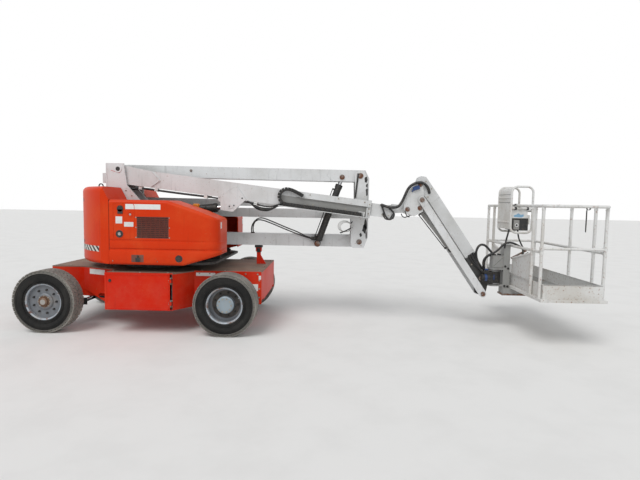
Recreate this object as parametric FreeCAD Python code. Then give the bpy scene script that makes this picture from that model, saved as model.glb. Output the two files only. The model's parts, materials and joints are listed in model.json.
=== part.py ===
import FreeCAD, Part
import math
import os

V = FreeCAD.Vector

# Articulating boom lift, parked with every arm down.
# Millimetres, X towards the platform, Y towards the far side, Z up.
# While it is built, X = 0 and Y = 0 are the turntable's swing axis and Z = 0 is the ground.
# The finished solids are then moved so that the origin is under the middle of the whole machine.

# Wheels
WHEELBASE = 2030.0
OVERALL_WIDTH = 1790.0
TYRE_RADIUS = 355.0
TYRE_WIDTH = 228.0
TYRE_SHOULDER = 34.0
RIM_RADIUS = 198.0
RIM_WALL = 12.0
DISC_THICK = 12.0
STEER_DISC_Y = 52.0
DRIVE_DISC_Y = -12.0
STEER_HUB_RADIUS = 92.0
DRIVE_HUB_RADIUS = 98.0
NUT_RING_RADIUS = 132.0
NUT_HOLES = 9
NUT_HOLE_RADIUS = 9.0
SPINDLE_RADIUS = 29.0
PIN_GAP = 1.0
OPEN_PIN_GAP = 5.0
EYE_SHARE = 0.8
ROD_EYE = 40.0

# Chassis
DECK_Z = 700.0
DECK_THICK = 12.0
FRAME_BOTTOM_Z = 340.0
FRAME_WALL = 16.0
SPINE_INSET = 192.0
STEER_OVERHANG = 175.0
DRIVE_OVERHANG = 370.0
SIDE_INSET = 75.0
SIDE_WALL = 12.0
ARCH_RADIUS = 455.0
END_PLATE_BOTTOM_Z = 320.0
AXLE_SADDLE_Z = 460.0
NOSE_REACH = 215.0
NOSE_LOW_Z = 420.0
TIE_HOLE_INSET = 203.0
TIE_HOLE_Z = 365.0
TIE_HOLE_RADIUS = 28.0
TIE_HOLE_REACH = 30.0
AXLE_POCKET_REACH = 135.0
WELL_REACH = 315.0

# Battery boxes, one on each side of the chassis
BOX_FROM_STEER = 690.0
BOX_HINGE_OUT = 20.0
BOX_BOTTOM_Z = 282.0
BOX_FACE_INSET = 33.0
BOX_WALL = 8.0
DOOR_THICK = 12.0
DOOR_GAP = 6.0
SLANT_LENGTH = 185.0
BOX_HINGE_RADIUS = 9.0
SLANT_TYRE_GAP = 60.0
BATTERY_INSET = 40.0

# Steering
KINGPIN_INSET = 181.0
KINGPIN_RADIUS = 22.0
KNUCKLE_HALF_HEIGHT = 92.0
KNUCKLE_RADIUS = 42.0
YOKE_THICK = 26.0
YOKE_GAP = 3.0
AXLE_DEPTH = 110.0
AXLE_HEIGHT = 130.0
STEER_ARM_LENGTH = 160.0
STEER_ARM_THICK = 20.0
STEER_ARM_WIDTH = 36.0
TIE_ROD_RADIUS = 14.0
TIE_EYE_RADIUS = 26.0
TIE_EYE_HALF = 16.0
TIE_ROD_DROP = 34.0
STUD_INSET = 25.0

# Drive gearboxes
GEARBOX_RADIUS = 90.0
GEARBOX_SPINE_GAP = 20.0

# Boom rest post at the drive end
REST_INSET = 150.0
REST_PAD_HALF = 46.0
REST_PAD_THICK = 30.0
REST_POST_HALF = 24.0
REST_GAP = 6.0

# Swing bearing and turntable
BEARING_OUTER_R = 420.0
BEARING_INNER_R = 320.0
TURNTABLE_Z = 786.0
TURNTABLE_PLATE = 28.0
TAIL_INSET = 5.0
COVER_INSET = 95.0
SEAM_X = -300.0
SEAM_GAP = 6.0
WEIGHT_TOP_Z = 1655.0
WEIGHT_NOTCH_X = -612.0
SLOT_NEAR_Y = -317.0
SLOT_FAR_Y = 322.0
WEIGHT_EDGE = 60.0
WEB_HEIGHT = 150.0
WEB_FALL_X = 640.0
COVER_END_X = 925.0
COVER_TOP_Z = 1510.0
COVER_WALL = 14.0
COVER_CORNER = 150.0
COVER_EDGE = 40.0
COVER_HINGE_Y = 345.0
COVER_HINGE_Z = 1500.0
COVER_HINGE_RADIUS = 9.0
COVER_HINGE_X0 = -220.0
COVER_HINGE_LENGTH = 560.0
COVER_BEND_X = 540.0
COVER_BEND_RISE = 115.0
COVER_FALL_X = 350.0
COVER_STEP_X = 710.0
COVER_STEP_Z = 1394.0
COVER_NOSE_Z = 1307.0
CREASE_Z = 1054.0
CREASE_DEPTH = 12.0
GRILLE_X0 = 16.0
GRILLE_X1 = 375.0
GRILLE_Z0 = 1083.0
GRILLE_Z1 = 1324.0
GRILLE_SLATS = 11
GRILLE_BARS = 6
RAIL_X0 = -230.0
RAIL_X1 = 350.0
RAIL_POST = 40.0
POWER_UNIT_X1 = 640.0
TANK_X1 = 560.0
BLOCK_X0 = -200.0
BLOCK_INSET = 110.0
POWER_UNIT_TOP_Z = 1300.0
TANK_TOP_Z = 1260.0
BEACON_X = 536.0
BEACON_Z = 1400.0
BEACON_RADIUS = 42.0
BEACON_HEIGHT = 78.0

# Riser: two arms and two parallel links, folded like a flat Z
RISER_LEFT_X = -414.0
RISER_RIGHT_X = 2540.0
LOWER_ARM_Z = 1030.0
LOWER_LINK_Z = 1375.0
UPPER_LINK_LEFT_Z = 1510.0
UPPER_ARM_LEFT_Z = 1882.0
UPPER_ARM_RIGHT_Z = 1860.0
LOWER_ARM_DEPTH = 155.0
LOWER_ARM_Y0 = 100.0
LOWER_ARM_Y1 = 240.0
LINK_Y0 = 130.0
LINK_Y1 = 210.0
LOWER_LINK_DEPTH = 115.0
UPPER_LINK_DEPTH = 80.0
UPPER_ARM_DEPTH = 145.0
UPPER_ARM_Y0 = -15.0
UPPER_ARM_Y1 = 245.0
ARM_WALL = 8.0
RISER_PIN_RADIUS = 24.0
PIN_HEAD = 5.0
STAND_NEAR_Y = 75.0
STAND_FAR_Y = 260.0
PLATE = 20.0
MID_NEAR_Y = -30.0
MID_FAR_Y = 260.0
MID_HALF_LEFT = 105.0
MID_HALF_RIGHT = 110.0

# Riser cylinder, beside the lower arm
RISER_CYL_Y = 44.0
RISER_CYL_BASE_X = 2011.0
RISER_CYL_BASE_Z = 993.0
RISER_CYL_ROD_X = 2311.0
RISER_CYL_ROD_Z = 1842.0
RISER_BARREL_RADIUS = 42.0
RISER_ROD_RADIUS = 24.0
RISER_BARREL_LENGTH = 760.0

# Upper pivot: carries the boom, the upper arm and the upper link
UPPER_NEAR_Y = -280.0
UPPER_MID_Y = -35.0
UPPER_FAR_Y = 286.0
UPPER_TOP_Z = 1950.0
UPPER_LEFT_X = -562.0
UPPER_RIGHT_X = -345.0
UPPER_BACK_Z = 1580.0
UPPER_FRONT = [(-309.0, 1688.0), (-153.0, 1513.0), (-80.0, 1400.0), (-80.0, 1280.0), (-220.0, 1262.0)]
GAUGE_REACH = 130.0
GAUGE_Y0 = -120.0
GAUGE_Y1 = 60.0
GAUGE_Z0 = 1715.0
GAUGE_Z1 = 1840.0

# Main boom and its extension
BOOM_Y = -165.0
BOOM_TILT = 6.7
BOOM_WIDTH = 180.0
BOOM_DEPTH = 198.0
BOOM_WALL = 8.0
BOOM_DROP = 74.0
BOOM_TAIL = 82.0
BOOM_LENGTH = 3105.0
BOOM_PIN_RADIUS = 24.0
DOUBLER = 8.0
TAIL_PLATE = 510.0
EXT_WIDTH = 150.0
EXT_DEPTH = 155.0
EXT_START = 700.0
EXT_SHOWN = 295.0
BOOM_CYL_BASE_X = -150.0
BOOM_CYL_BASE_Z = 1340.0
BOOM_CYL_ROD_X = 950.0
BOOM_CYL_ROD_Z = 1452.0
BOOM_BARREL_RADIUS = 52.0
BOOM_ROD_RADIUS = 30.0
BOOM_BARREL_LENGTH = 880.0
BOOM_BRACKET_HALF = 70.0

# Jib: knuckle, main beam, two levelling arms, cylinder
KNUCKLE_PIN_REACH = 439.786
KNUCKLE_PIN_RISE = -13.520
JIB_TOP_DX = 145.0
JIB_TOP_DZ = 302.0
JIB_LOW_DX = 20.0
JIB_LOW_DZ = -185.0
JIB_LENGTH = 1370.0
JIB_ANGLE = -55.5
JIB_BEAM_HALF = 65.0
JIB_BEAM_LOW = -20.0
JIB_BEAM_HIGH = 118.0
JIB_BEAM_START = 205.0
JIB_BEAM_END = 1060.0
JIB_WALL = 7.0
KNUCKLE_HALF = 75.0
KNUCKLE_PLATE = 18.0
ARM_IN = 100.0
ARM_OUT = 126.0
ARM_DEPTH = 86.0
JIB_PIN_RADIUS = 20.0
JIB_CYL_BASE_DX = 5.0
JIB_CYL_BASE_DZ = -285.0
JIB_CYL_ROD_S = 1010.0
JIB_CYL_ROD_N = -90.0
JIB_ROD_PIN_RADIUS = 14.0
JIB_ROD_EYE = 26.0
JIB_BACK_TRAVEL = 20.0
JIB_BARREL_RADIUS = 30.0
JIB_ROD_RADIUS = 17.0
JIB_BARREL_LENGTH = 640.0

# Platform and its mount
ROTATOR_REACH = 179.02
ROTATOR_RADIUS = 80.0
ROTATOR_GAP = 5.0
CLASP_THICK = 20.0
ROTATOR_DROP = 71.95
ROTATOR_HEIGHT = 172.0
POST_REACH = 98.0
POST_WIDTH = 77.0
POST_DROP = 124.0
POST_HEIGHT = 608.0
POST_HALF = 60.0
PLATFORM_GAP = 5.0
PLATFORM_DEPTH = 695.0
PLATFORM_LENGTH = 1830.0
FLOOR_DROP = 44.0
FLOOR_THICK = 30.0
FLOOR_PLATE = 4.0
FLOOR_WALL = 6.0
FLOOR_BEAMS = (-620.0, -310.0, -68.0, 68.0, 310.0, 620.0)
TOE_TOP = 180.0
TOE_THICK = 5.0
MID_RAIL = 520.0
TOP_RAIL = 1008.0
RAIL_RADIUS = 17.0
CROSS_RAIL_RADIUS = 16.0
RAIL_BEND = 60.0
OUTER_POSTS = (-120.0, -625.0)
BAR_COLLAR = 24.0
BAR_COLLAR_HEIGHT = 34.0
BAR_RADIUS = 15.0
BAR_GAP = 5.0
SIDE_POST_REACH = 615.0
PANEL_THICK = 4.0
HOOP_HALF = 200.0
HOOP_BACK = 75.0
HOOP_FRONT = 175.0
HOOP_LOW = 688.0
HOOP_TOP = 1233.0
HOOP_RADIUS = 13.0
CONSOLE_RAIL_GAP = 70.0
CONSOLE_HEIGHT = 150.0

# Places worked out from the sizes above
WHEEL_Y = (OVERALL_WIDTH - TYRE_WIDTH) / 2
STEER_X = -WHEELBASE / 2
DRIVE_X = WHEELBASE / 2
STEER_END_X = STEER_X - STEER_OVERHANG
DRIVE_END_X = DRIVE_X + DRIVE_OVERHANG
NOSE_X = STEER_X + NOSE_REACH
AXLE_POCKET_X = STEER_X + AXLE_POCKET_REACH
WELL_X = DRIVE_X - WELL_REACH
REST_X = DRIVE_END_X - REST_INSET
SLANT_END_X = DRIVE_X - TYRE_RADIUS - SLANT_TYRE_GAP
BOX_HINGE_X = SLANT_END_X - SLANT_LENGTH
BOX_X0 = STEER_X + BOX_FROM_STEER
BOX_X1 = BOX_HINGE_X - BOX_HINGE_OUT
TIE_HOLE_X = BOX_X0 - TIE_HOLE_INSET
KINGPIN_Y = WHEEL_Y - KINGPIN_INSET
SIDE_HALF = WHEEL_Y - TYRE_WIDTH / 2 - SIDE_INSET
SPINE_HALF = SIDE_HALF - SPINE_INSET
GEARBOX_INNER_Y = SPINE_HALF + GEARBOX_SPINE_GAP
BOX_FACE_Y = OVERALL_WIDTH / 2 - BOX_FACE_INSET
TAIL_RADIUS = OVERALL_WIDTH / 2 - TAIL_INSET
COVER_HALF = OVERALL_WIDTH / 2 - COVER_INSET
BOOM_PIVOT = (RISER_LEFT_X, UPPER_ARM_LEFT_Z)
EXT_END = BOOM_LENGTH + EXT_SHOWN
BOOM_WAY = (math.cos(math.radians(BOOM_TILT)), -math.sin(math.radians(BOOM_TILT)))
KNUCKLE_ALONG = BOOM_LENGTH + KNUCKLE_PIN_REACH
KNUCKLE_PIN_X = round(BOOM_PIVOT[0] + KNUCKLE_ALONG * BOOM_WAY[0] - KNUCKLE_PIN_RISE * BOOM_WAY[1], 2)
KNUCKLE_PIN_Z = round(BOOM_PIVOT[1] + KNUCKLE_ALONG * BOOM_WAY[1] + KNUCKLE_PIN_RISE * BOOM_WAY[0], 2)
JIB_TOP_X = KNUCKLE_PIN_X + JIB_TOP_DX
JIB_TOP_Z = KNUCKLE_PIN_Z + JIB_TOP_DZ
JIB_LOW_X = JIB_TOP_X + JIB_LOW_DX
JIB_LOW_Z = JIB_TOP_Z + JIB_LOW_DZ
JIB_FOOT_X = round(JIB_TOP_X + JIB_LENGTH * math.cos(math.radians(JIB_ANGLE)), 2)
JIB_FOOT_Z = round(JIB_TOP_Z + JIB_LENGTH * math.sin(math.radians(JIB_ANGLE)), 2)
ROTATOR_X = JIB_FOOT_X + ROTATOR_REACH
ROTATOR_Z0 = JIB_FOOT_Z - ROTATOR_DROP
ROTATOR_Z1 = ROTATOR_Z0 + ROTATOR_HEIGHT
POST_X0 = ROTATOR_X + POST_REACH
POST_X1 = POST_X0 + POST_WIDTH
POST_Z0 = ROTATOR_Z0 - POST_DROP
POST_Z1 = POST_Z0 + POST_HEIGHT
PLATFORM_X0 = POST_X1 + PLATFORM_GAP
PLATFORM_X1 = PLATFORM_X0 + PLATFORM_DEPTH
FLOOR_Z = ROTATOR_Z0 - FLOOR_DROP
TOE_TOP_Z = FLOOR_Z + TOE_TOP
MID_RAIL_Z = FLOOR_Z + MID_RAIL
TOP_RAIL_Z = FLOOR_Z + TOP_RAIL
HOOP_X0 = PLATFORM_X0 - HOOP_BACK
HOOP_X1 = PLATFORM_X0 + HOOP_FRONT
HOOP_Z0 = FLOOR_Z + HOOP_LOW
HOOP_Z1 = FLOOR_Z + HOOP_TOP
CONSOLE_Z1 = TOP_RAIL_Z - CONSOLE_RAIL_GAP
CONSOLE_Z0 = CONSOLE_Z1 - CONSOLE_HEIGHT
PLATFORM_Y0 = BOOM_Y - PLATFORM_LENGTH / 2
PLATFORM_Y1 = BOOM_Y + PLATFORM_LENGTH / 2
ORIGIN_X = (STEER_X - TYRE_RADIUS + PLATFORM_X1 - RAIL_RADIUS + BAR_COLLAR) / 2
ORIGIN_Y = (PLATFORM_Y0 + OVERALL_WIDTH / 2) / 2
UPPER_LINK_RIGHT_Z = UPPER_LINK_LEFT_Z + UPPER_ARM_RIGHT_Z - UPPER_ARM_LEFT_Z

SHAPES = {}


# Small makers of plain solids

def box(x0, x1, y0, y1, z0, z1):
    return Part.makeBox(x1 - x0, y1 - y0, z1 - z0, V(x0, y0, z0))


def rod_y(x, z, radius, y0, y1):
    return Part.makeCylinder(radius, y1 - y0, V(x, y0, z), V(0, 1, 0))


def rod_z(x, y, radius, z0, z1):
    return Part.makeCylinder(radius, z1 - z0, V(x, y, z0), V(0, 0, 1))


def rod(start, end, radius):
    way = V(*end) - V(*start)
    return Part.makeCylinder(radius, way.Length, V(*start), way)


def plate_xz(points, y0, y1):
    corners = [V(x, y0, z) for x, z in points]
    face = Part.Face(Part.makePolygon(corners + corners[:1]))
    return face.extrude(V(0, y1 - y0, 0))


def plate_xy(points, z0, z1):
    corners = [V(x, y, z0) for x, y in points]
    face = Part.Face(Part.makePolygon(corners + corners[:1]))
    return face.extrude(V(0, 0, z1 - z0))


def fuse(shapes):
    whole = shapes[0]
    if len(shapes) > 1:
        whole = whole.multiFuse(shapes[1:])
    return whole.removeSplitter()


def cut(shape, tools):
    for tool in tools:
        shape = shape.cut(tool)
    return shape


def mirror_y(shape):
    return shape.mirror(V(0, 0, 0), V(0, 1, 0))


def turned(shape, pivot, degrees):
    # Turn about the Y axis through pivot, so that the right end goes up.
    copy = shape.copy()
    copy.rotate(V(pivot[0], 0, pivot[1]), V(0, -1, 0), degrees)
    return copy


def revolve_y(profile, x, y, z, side):
    # Profile points are (radius, distance outwards from the wheel's middle plane).
    corners = [V(x + r, y + side * out, z) for r, out in profile]
    face = Part.Face(Part.makePolygon(corners + corners[:1]))
    return face.revolve(V(x, y, z), V(0, 1, 0), 360)


def pipe(points, radius, bend):
    # Tube centre line: straight runs joined by arcs of one bend radius.
    spots = [V(*p) for p in points]
    edges = []
    start = spots[0]
    for before, corner, after in zip(spots, spots[1:], spots[2:]):
        back = (before - corner).normalize()
        ahead = (after - corner).normalize()
        half = back.getAngle(ahead) / 2
        reach = bend / math.tan(half)
        first = corner + back * reach
        last = corner + ahead * reach
        middle_way = (back + ahead).normalize()
        middle = corner + middle_way * (bend / math.sin(half) - bend)
        edges.append(Part.LineSegment(start, first).toShape())
        edges.append(Part.Arc(first, middle, last).toShape())
        start = last
    edges.append(Part.LineSegment(start, spots[-1]).toShape())
    path = Part.Wire(edges)
    way = spots[1] - spots[0]
    ring = Part.Wire(Part.makeCircle(radius, spots[0], way))
    return path.makePipeShell([ring], True, False)


def link_bar(left, right, depth, y0, y1):
    # Flat bar with round ends between two pin centres.
    half = depth / 2
    length = math.hypot(right[0] - left[0], right[1] - left[1])
    tilt = math.degrees(math.atan2(right[1] - left[1], right[0] - left[0]))
    bar = box(left[0], left[0] + length, y0, y1, left[1] - half, left[1] + half)
    ends = [rod_y(left[0], left[1], half, y0, y1), rod_y(left[0] + length, left[1], half, y0, y1)]
    return turned(fuse([bar] + ends), left, tilt)


def pair(maker):
    # One solid on each side, kept together.
    return Part.makeCompound([maker(-1), maker(1)])


def keep(name, shape):
    SHAPES[name] = shape


# Wheels

def tyre(x, side):
    y = side * WHEEL_Y
    half = TYRE_WIDTH / 2
    body = rod_y(x, TYRE_RADIUS, TYRE_RADIUS, y - half, y + half)
    body = body.makeFillet(TYRE_SHOULDER,
                           [e for e in body.Edges if abs(e.Length - 2 * math.pi * TYRE_RADIUS) < 1])
    bore = rod_y(x, TYRE_RADIUS, RIM_RADIUS, y - half, y + half)
    body = body.cut(bore)
    for end in (-1, 1):
        dish = [(RIM_RADIUS - 1, end * half), (RIM_RADIUS - 1, end * (half - 26)),
                (RIM_RADIUS + 22, end * (half - 12)),
                (RIM_RADIUS + 78, end * half), (RIM_RADIUS + 78, end * (half + 2)),
                (RIM_RADIUS - 1, end * (half + 2))]
        body = body.cut(revolve_y(dish, x, y, TYRE_RADIUS, 1))
    return body


def nut_holes(x, y, side, disc_y):
    holes = []
    for n in range(NUT_HOLES):
        angle = 2 * math.pi * n / NUT_HOLES
        hx = x + NUT_RING_RADIUS * math.cos(angle)
        hz = TYRE_RADIUS + NUT_RING_RADIUS * math.sin(angle)
        spots = sorted((y + side * (disc_y - DISC_THICK), y + side * (disc_y + DISC_THICK)))
        holes.append(rod_y(hx, hz, NUT_HOLE_RADIUS, spots[0], spots[1]))
    return holes


def rim(x, side, disc_y, hub_radius, hub_out, hub_in, bore_end):
    y = side * WHEEL_Y
    half = TYRE_WIDTH / 2 - 30
    inner = RIM_RADIUS - RIM_WALL
    barrel = [(inner, -half), (RIM_RADIUS, -half), (RIM_RADIUS, half), (inner, half)]
    disc = [(hub_radius - 5, disc_y - DISC_THICK / 2), (inner + 1, disc_y - DISC_THICK / 2),
            (inner + 1, disc_y + DISC_THICK / 2), (hub_radius - 5, disc_y + DISC_THICK / 2)]
    hub = [(0, hub_in), (hub_radius, hub_in), (hub_radius, hub_out - 10), (hub_radius - 12, hub_out),
           (0, hub_out)]
    whole = fuse([revolve_y(p, x, y, TYRE_RADIUS, side) for p in (barrel, disc, hub)])
    bore = [(0, hub_in - 1), (SPINDLE_RADIUS + PIN_GAP, hub_in - 1), (SPINDLE_RADIUS + PIN_GAP, bore_end),
            (0, bore_end)]
    whole = whole.cut(revolve_y(bore, x, y, TYRE_RADIUS, side))
    return cut(whole, nut_holes(x, y, side, disc_y))


def wheels():
    for side, word in ((-1, "right"), (1, "left")):
        keep("steer_tyre_" + word, tyre(STEER_X, side))
        keep("drive_tyre_" + word, tyre(DRIVE_X, side))
        steer = rim(STEER_X, side, STEER_DISC_Y, STEER_HUB_RADIUS, 78, -45, 60)
        y = side * WHEEL_Y
        cap = [(0, 70), (46, 70), (46, 100), (34, 108), (0, 108)]
        keep("steer_rim_" + word, fuse([steer, revolve_y(cap, STEER_X, y, TYRE_RADIUS, side)]))
        keep("drive_rim_" + word, rim(DRIVE_X, side, DRIVE_DISC_Y, DRIVE_HUB_RADIUS, 62, -70, 20))


# Chassis

def chassis_frame():
    top = DECK_Z - DECK_THICK
    w = FRAME_WALL
    low, raised = FRAME_BOTTOM_Z, AXLE_SADDLE_Z
    outer = [(STEER_END_X, top), (STEER_END_X, raised), (AXLE_POCKET_X, raised), (AXLE_POCKET_X, low),
             (DRIVE_END_X, low),
             (DRIVE_END_X, top)]
    inner = [(STEER_END_X + w, top - w), (STEER_END_X + w, raised + w), (AXLE_POCKET_X + w, raised + w),
             (AXLE_POCKET_X + w, low + w), (DRIVE_END_X - w, low + w), (DRIVE_END_X - w, top - w)]
    spine = plate_xz(outer, -SPINE_HALF, SPINE_HALF).cut(plate_xz(inner, -SPINE_HALF + w, SPINE_HALF - w))
    slant_low = [(NOSE_X, top), (BOX_X0, top), (BOX_X0, BOX_BOTTOM_Z), (BOX_X0 - 130, BOX_BOTTOM_Z),
                 (NOSE_X, NOSE_LOW_Z)]
    right_low = [(BOX_X1, top), (DRIVE_END_X, top), (DRIVE_END_X, END_PLATE_BOTTOM_Z),
                 (DRIVE_END_X - 60, END_PLATE_BOTTOM_Z), (DRIVE_END_X - 210, TYRE_RADIUS + 60),
                 (WELL_X, TYRE_RADIUS + 60), (WELL_X - 80, BOX_BOTTOM_Z), (BOX_X1, BOX_BOTTOM_Z)]
    sides = []
    for side in (-1, 1):
        y0, y1 = sorted((side * SIDE_HALF, side * (SIDE_HALF - SIDE_WALL)))
        plan = [(NOSE_X, SPINE_HALF), (BOX_X0, SIDE_HALF), (BOX_X0, SIDE_HALF - SIDE_WALL),
                (NOSE_X, SPINE_HALF - SIDE_WALL)]
        upright = plate_xy([(x, side * y) for x, y in plan], BOX_BOTTOM_Z, top)
        sides.append(upright.common(plate_xz(slant_low, -SIDE_HALF, SIDE_HALF)))
        sides.append(plate_xz(right_low, y0, y1))
        rib0, rib1 = sorted((side * (SPINE_HALF - 1), side * (SIDE_HALF - 1)))
        sides.append(box(BOX_X0 - SIDE_WALL, BOX_X0, rib0, rib1, BOX_BOTTOM_Z, top))
        sides.append(box(BOX_X1, BOX_X1 + SIDE_WALL, rib0, rib1, BOX_BOTTOM_Z, top))
        sides.append(box(WELL_X, WELL_X + SIDE_WALL, rib0, rib1, TYRE_RADIUS + 60, top))
    end = box(DRIVE_END_X - SIDE_WALL, DRIVE_END_X, -SIDE_HALF, SIDE_HALF, END_PLATE_BOTTOM_Z + 40, top)
    whole = fuse([spine, end] + sides)
    wells = [rod_y(DRIVE_X, TYRE_RADIUS, GEARBOX_RADIUS + 8, s * SIDE_HALF - 20, s * SIDE_HALF + 20)
             for s in (-1, 1)]
    ties = []
    for s in (-1, 1):
        y0, y1 = sorted((s * (SPINE_HALF + 20), s * (SIDE_HALF + 20)))
        for x in (TIE_HOLE_X - TIE_HOLE_REACH, TIE_HOLE_X + TIE_HOLE_REACH):
            ties.append(rod_y(x, TIE_HOLE_Z, TIE_HOLE_RADIUS, y0, y1))
        ties.append(box(TIE_HOLE_X - TIE_HOLE_REACH, TIE_HOLE_X + TIE_HOLE_REACH, y0, y1,
                        TIE_HOLE_Z - TIE_HOLE_RADIUS, TIE_HOLE_Z + TIE_HOLE_RADIUS))
    return cut(whole, wells + ties)


def deck():
    wide = SIDE_HALF
    outer = BOX_FACE_Y - DOOR_THICK - DOOR_GAP
    points = [(STEER_END_X, -SPINE_HALF), (NOSE_X, -SPINE_HALF), (BOX_X0, -wide), (BOX_X0, -outer),
              (BOX_HINGE_X + 15, -outer), (SLANT_END_X, -wide), (DRIVE_END_X, -wide)]
    points += [(x, -y) for x, y in reversed(points)]
    plate = plate_xy(points, DECK_Z - DECK_THICK, DECK_Z)
    return plate


def battery_box(side):
    top = DECK_Z - DECK_THICK
    inner = SIDE_HALF
    outer = BOX_FACE_Y - DOOR_THICK - DOOR_GAP
    x1 = BOX_HINGE_X + 15
    floor = [(BOX_X0, inner), (x1, inner), (SLANT_END_X, inner), (x1, outer), (BOX_X0, outer)]
    tray = plate_xy([(x, y) for x, y in floor], BOX_BOTTOM_Z, BOX_BOTTOM_Z + BOX_WALL)
    left = box(BOX_X0, BOX_X0 + BOX_WALL, inner, outer, BOX_BOTTOM_Z, top)
    slant = [(x1, outer), (SLANT_END_X, inner), (SLANT_END_X - 12, inner), (x1, outer - 12)]
    whole = fuse([tray, left, plate_xy(slant, BOX_BOTTOM_Z, top),
                  box(x1 - BOX_WALL, x1, inner, outer, BOX_BOTTOM_Z, top)])
    return whole if side > 0 else mirror_y(whole)


def battery_door(side):
    face = BOX_FACE_Y
    x1 = BOX_HINGE_X - BOX_HINGE_RADIUS - 3
    z0 = BOX_BOTTOM_Z
    z1 = DECK_Z - 4
    panel = box(BOX_X0 - 2, x1, face - DOOR_THICK, face, z0, z1)
    tabs = []
    for z in (z0 + 60, z1 - 100):
        tabs.append(box(x1 - 30, BOX_HINGE_X, face - 4, face, z, z + 40))
        tabs.append(rod_z(BOX_HINGE_X, face, BOX_HINGE_RADIUS, z, z + 40))
    whole = fuse([panel] + tabs)
    return whole if side > 0 else mirror_y(whole)


def batteries(side):
    whole = box(BOX_X0 + BATTERY_INSET, BOX_X1 - BATTERY_INSET, SIDE_HALF + 5, BOX_FACE_Y - BATTERY_INSET,
                BOX_BOTTOM_Z + BOX_WALL, DECK_Z - 120)
    return whole if side > 0 else mirror_y(whole)


def steer_axle():
    z = TYRE_RADIUS
    beam = box(STEER_X - AXLE_DEPTH / 2, STEER_X + AXLE_DEPTH / 2, -KINGPIN_Y + 70, KINGPIN_Y - 70,
               z - AXLE_HEIGHT / 2, z + AXLE_HEIGHT / 2)
    pieces = [beam]
    gap = KNUCKLE_HALF_HEIGHT + YOKE_GAP
    for side in (-1, 1):
        web0, web1 = sorted((side * (KINGPIN_Y - 100), side * (KINGPIN_Y - 60)))
        pieces.append(box(STEER_X - 38, STEER_X + 38, web0, web1, z - gap - YOKE_THICK,
                          z + gap + YOKE_THICK))
        ear0, ear1 = sorted((side * (KINGPIN_Y - 100), side * (KINGPIN_Y + 38)))
        for up in (-1, 1):
            z0, z1 = sorted((z + up * gap, z + up * (gap + YOKE_THICK)))
            pieces.append(box(STEER_X - 38, STEER_X + 38, ear0, ear1, z0, z1))
    pieces.append(box(STEER_X - 90, STEER_X + 90, -160, 160, z + AXLE_HEIGHT / 2 - 1, AXLE_SADDLE_Z))
    whole = fuse(pieces)
    bores = [rod_z(STEER_X, s * KINGPIN_Y, KINGPIN_RADIUS + PIN_GAP, z - 200, z + 200) for s in (-1, 1)]
    return cut(whole, bores)


def steer_knuckle(side):
    z = TYRE_RADIUS
    reach = KNUCKLE_HALF_HEIGHT + YOKE_GAP + YOKE_THICK + 4
    y = side * KINGPIN_Y
    post = rod_z(STEER_X, y, KNUCKLE_RADIUS, z - KNUCKLE_HALF_HEIGHT, z + KNUCKLE_HALF_HEIGHT)
    pin = rod_z(STEER_X, y, KINGPIN_RADIUS, z - reach, z + reach)
    tip = side * (WHEEL_Y + 50)
    y0, y1 = sorted((y, tip))
    spindle = rod_y(STEER_X, z, SPINDLE_RADIUS, y0, y1)
    collar0, collar1 = sorted((y, side * (WHEEL_Y - 50)))
    collar = rod_y(STEER_X, z, 40, collar0, collar1)
    half = STEER_ARM_WIDTH / 2
    arm = box(STEER_X, STEER_X + STEER_ARM_LENGTH, y - half, y + half, z - 84, z - 84 + STEER_ARM_THICK)
    stud = rod_z(STEER_X + STEER_ARM_LENGTH - STUD_INSET, y, 12, z - 84 - 13, z - 83)
    return fuse([post, pin, spindle, collar, arm, stud])


def tie_rod():
    z = TYRE_RADIUS - 84 - TIE_ROD_DROP
    x = STEER_X + STEER_ARM_LENGTH - STUD_INSET
    reach = KINGPIN_Y
    body = rod_y(x, z, TIE_ROD_RADIUS, -reach, reach)
    eyes = [rod_z(x, s * reach, TIE_EYE_RADIUS, z - TIE_EYE_HALF, z + TIE_EYE_HALF) for s in (-1, 1)]
    return fuse([body] + eyes)


def gearbox(side):
    y0, y1 = sorted((side * GEARBOX_INNER_Y, side * (WHEEL_Y - 75)))
    case = rod_y(DRIVE_X, TYRE_RADIUS, GEARBOX_RADIUS, y0, y1)
    flange0, flange1 = sorted((side * (SIDE_HALF - 60), side * (SIDE_HALF - 20)))
    flange = rod_y(DRIVE_X, TYRE_RADIUS, GEARBOX_RADIUS + 35, flange0, flange1)
    hang = box(DRIVE_X - 120, DRIVE_X + 120, flange0, flange1, TYRE_RADIUS, DECK_Z - DECK_THICK)
    shaft0, shaft1 = sorted((side * (WHEEL_Y - 80), side * (WHEEL_Y + 15)))
    shaft = rod_y(DRIVE_X, TYRE_RADIUS, SPINDLE_RADIUS, shaft0, shaft1)
    arm0, arm1 = sorted((side * SPINE_HALF, flange0 if side > 0 else flange1))
    bridge = box(DRIVE_X - 120, DRIVE_X + 120, arm0, arm1, TYRE_RADIUS + 95, TYRE_RADIUS + 125)
    return fuse([case, flange, hang, shaft, bridge])


def boom_rest():
    y = (LOWER_ARM_Y0 + LOWER_ARM_Y1) / 2
    top = LOWER_ARM_Z - LOWER_ARM_DEPTH / 2 - REST_GAP - REST_PAD_THICK
    h = REST_POST_HALF
    post = box(REST_X - h, REST_X + h, y - h, y + h, DECK_Z, top)
    foot = plate_xz([(REST_X - h, DECK_Z), (REST_X + 95, DECK_Z), (REST_X + h, DECK_Z + 120),
                     (REST_X - h, DECK_Z + 120)],
                    y - 8, y + 8)
    head = box(REST_X - REST_PAD_HALF + 8, REST_X + REST_PAD_HALF - 8, y - h, y + h, top - 50, top)
    pad = box(REST_X - REST_PAD_HALF, REST_X + REST_PAD_HALF, y - REST_PAD_HALF, y + REST_PAD_HALF,
              top, top + REST_PAD_THICK)
    return fuse([post, foot, head, pad])


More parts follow.
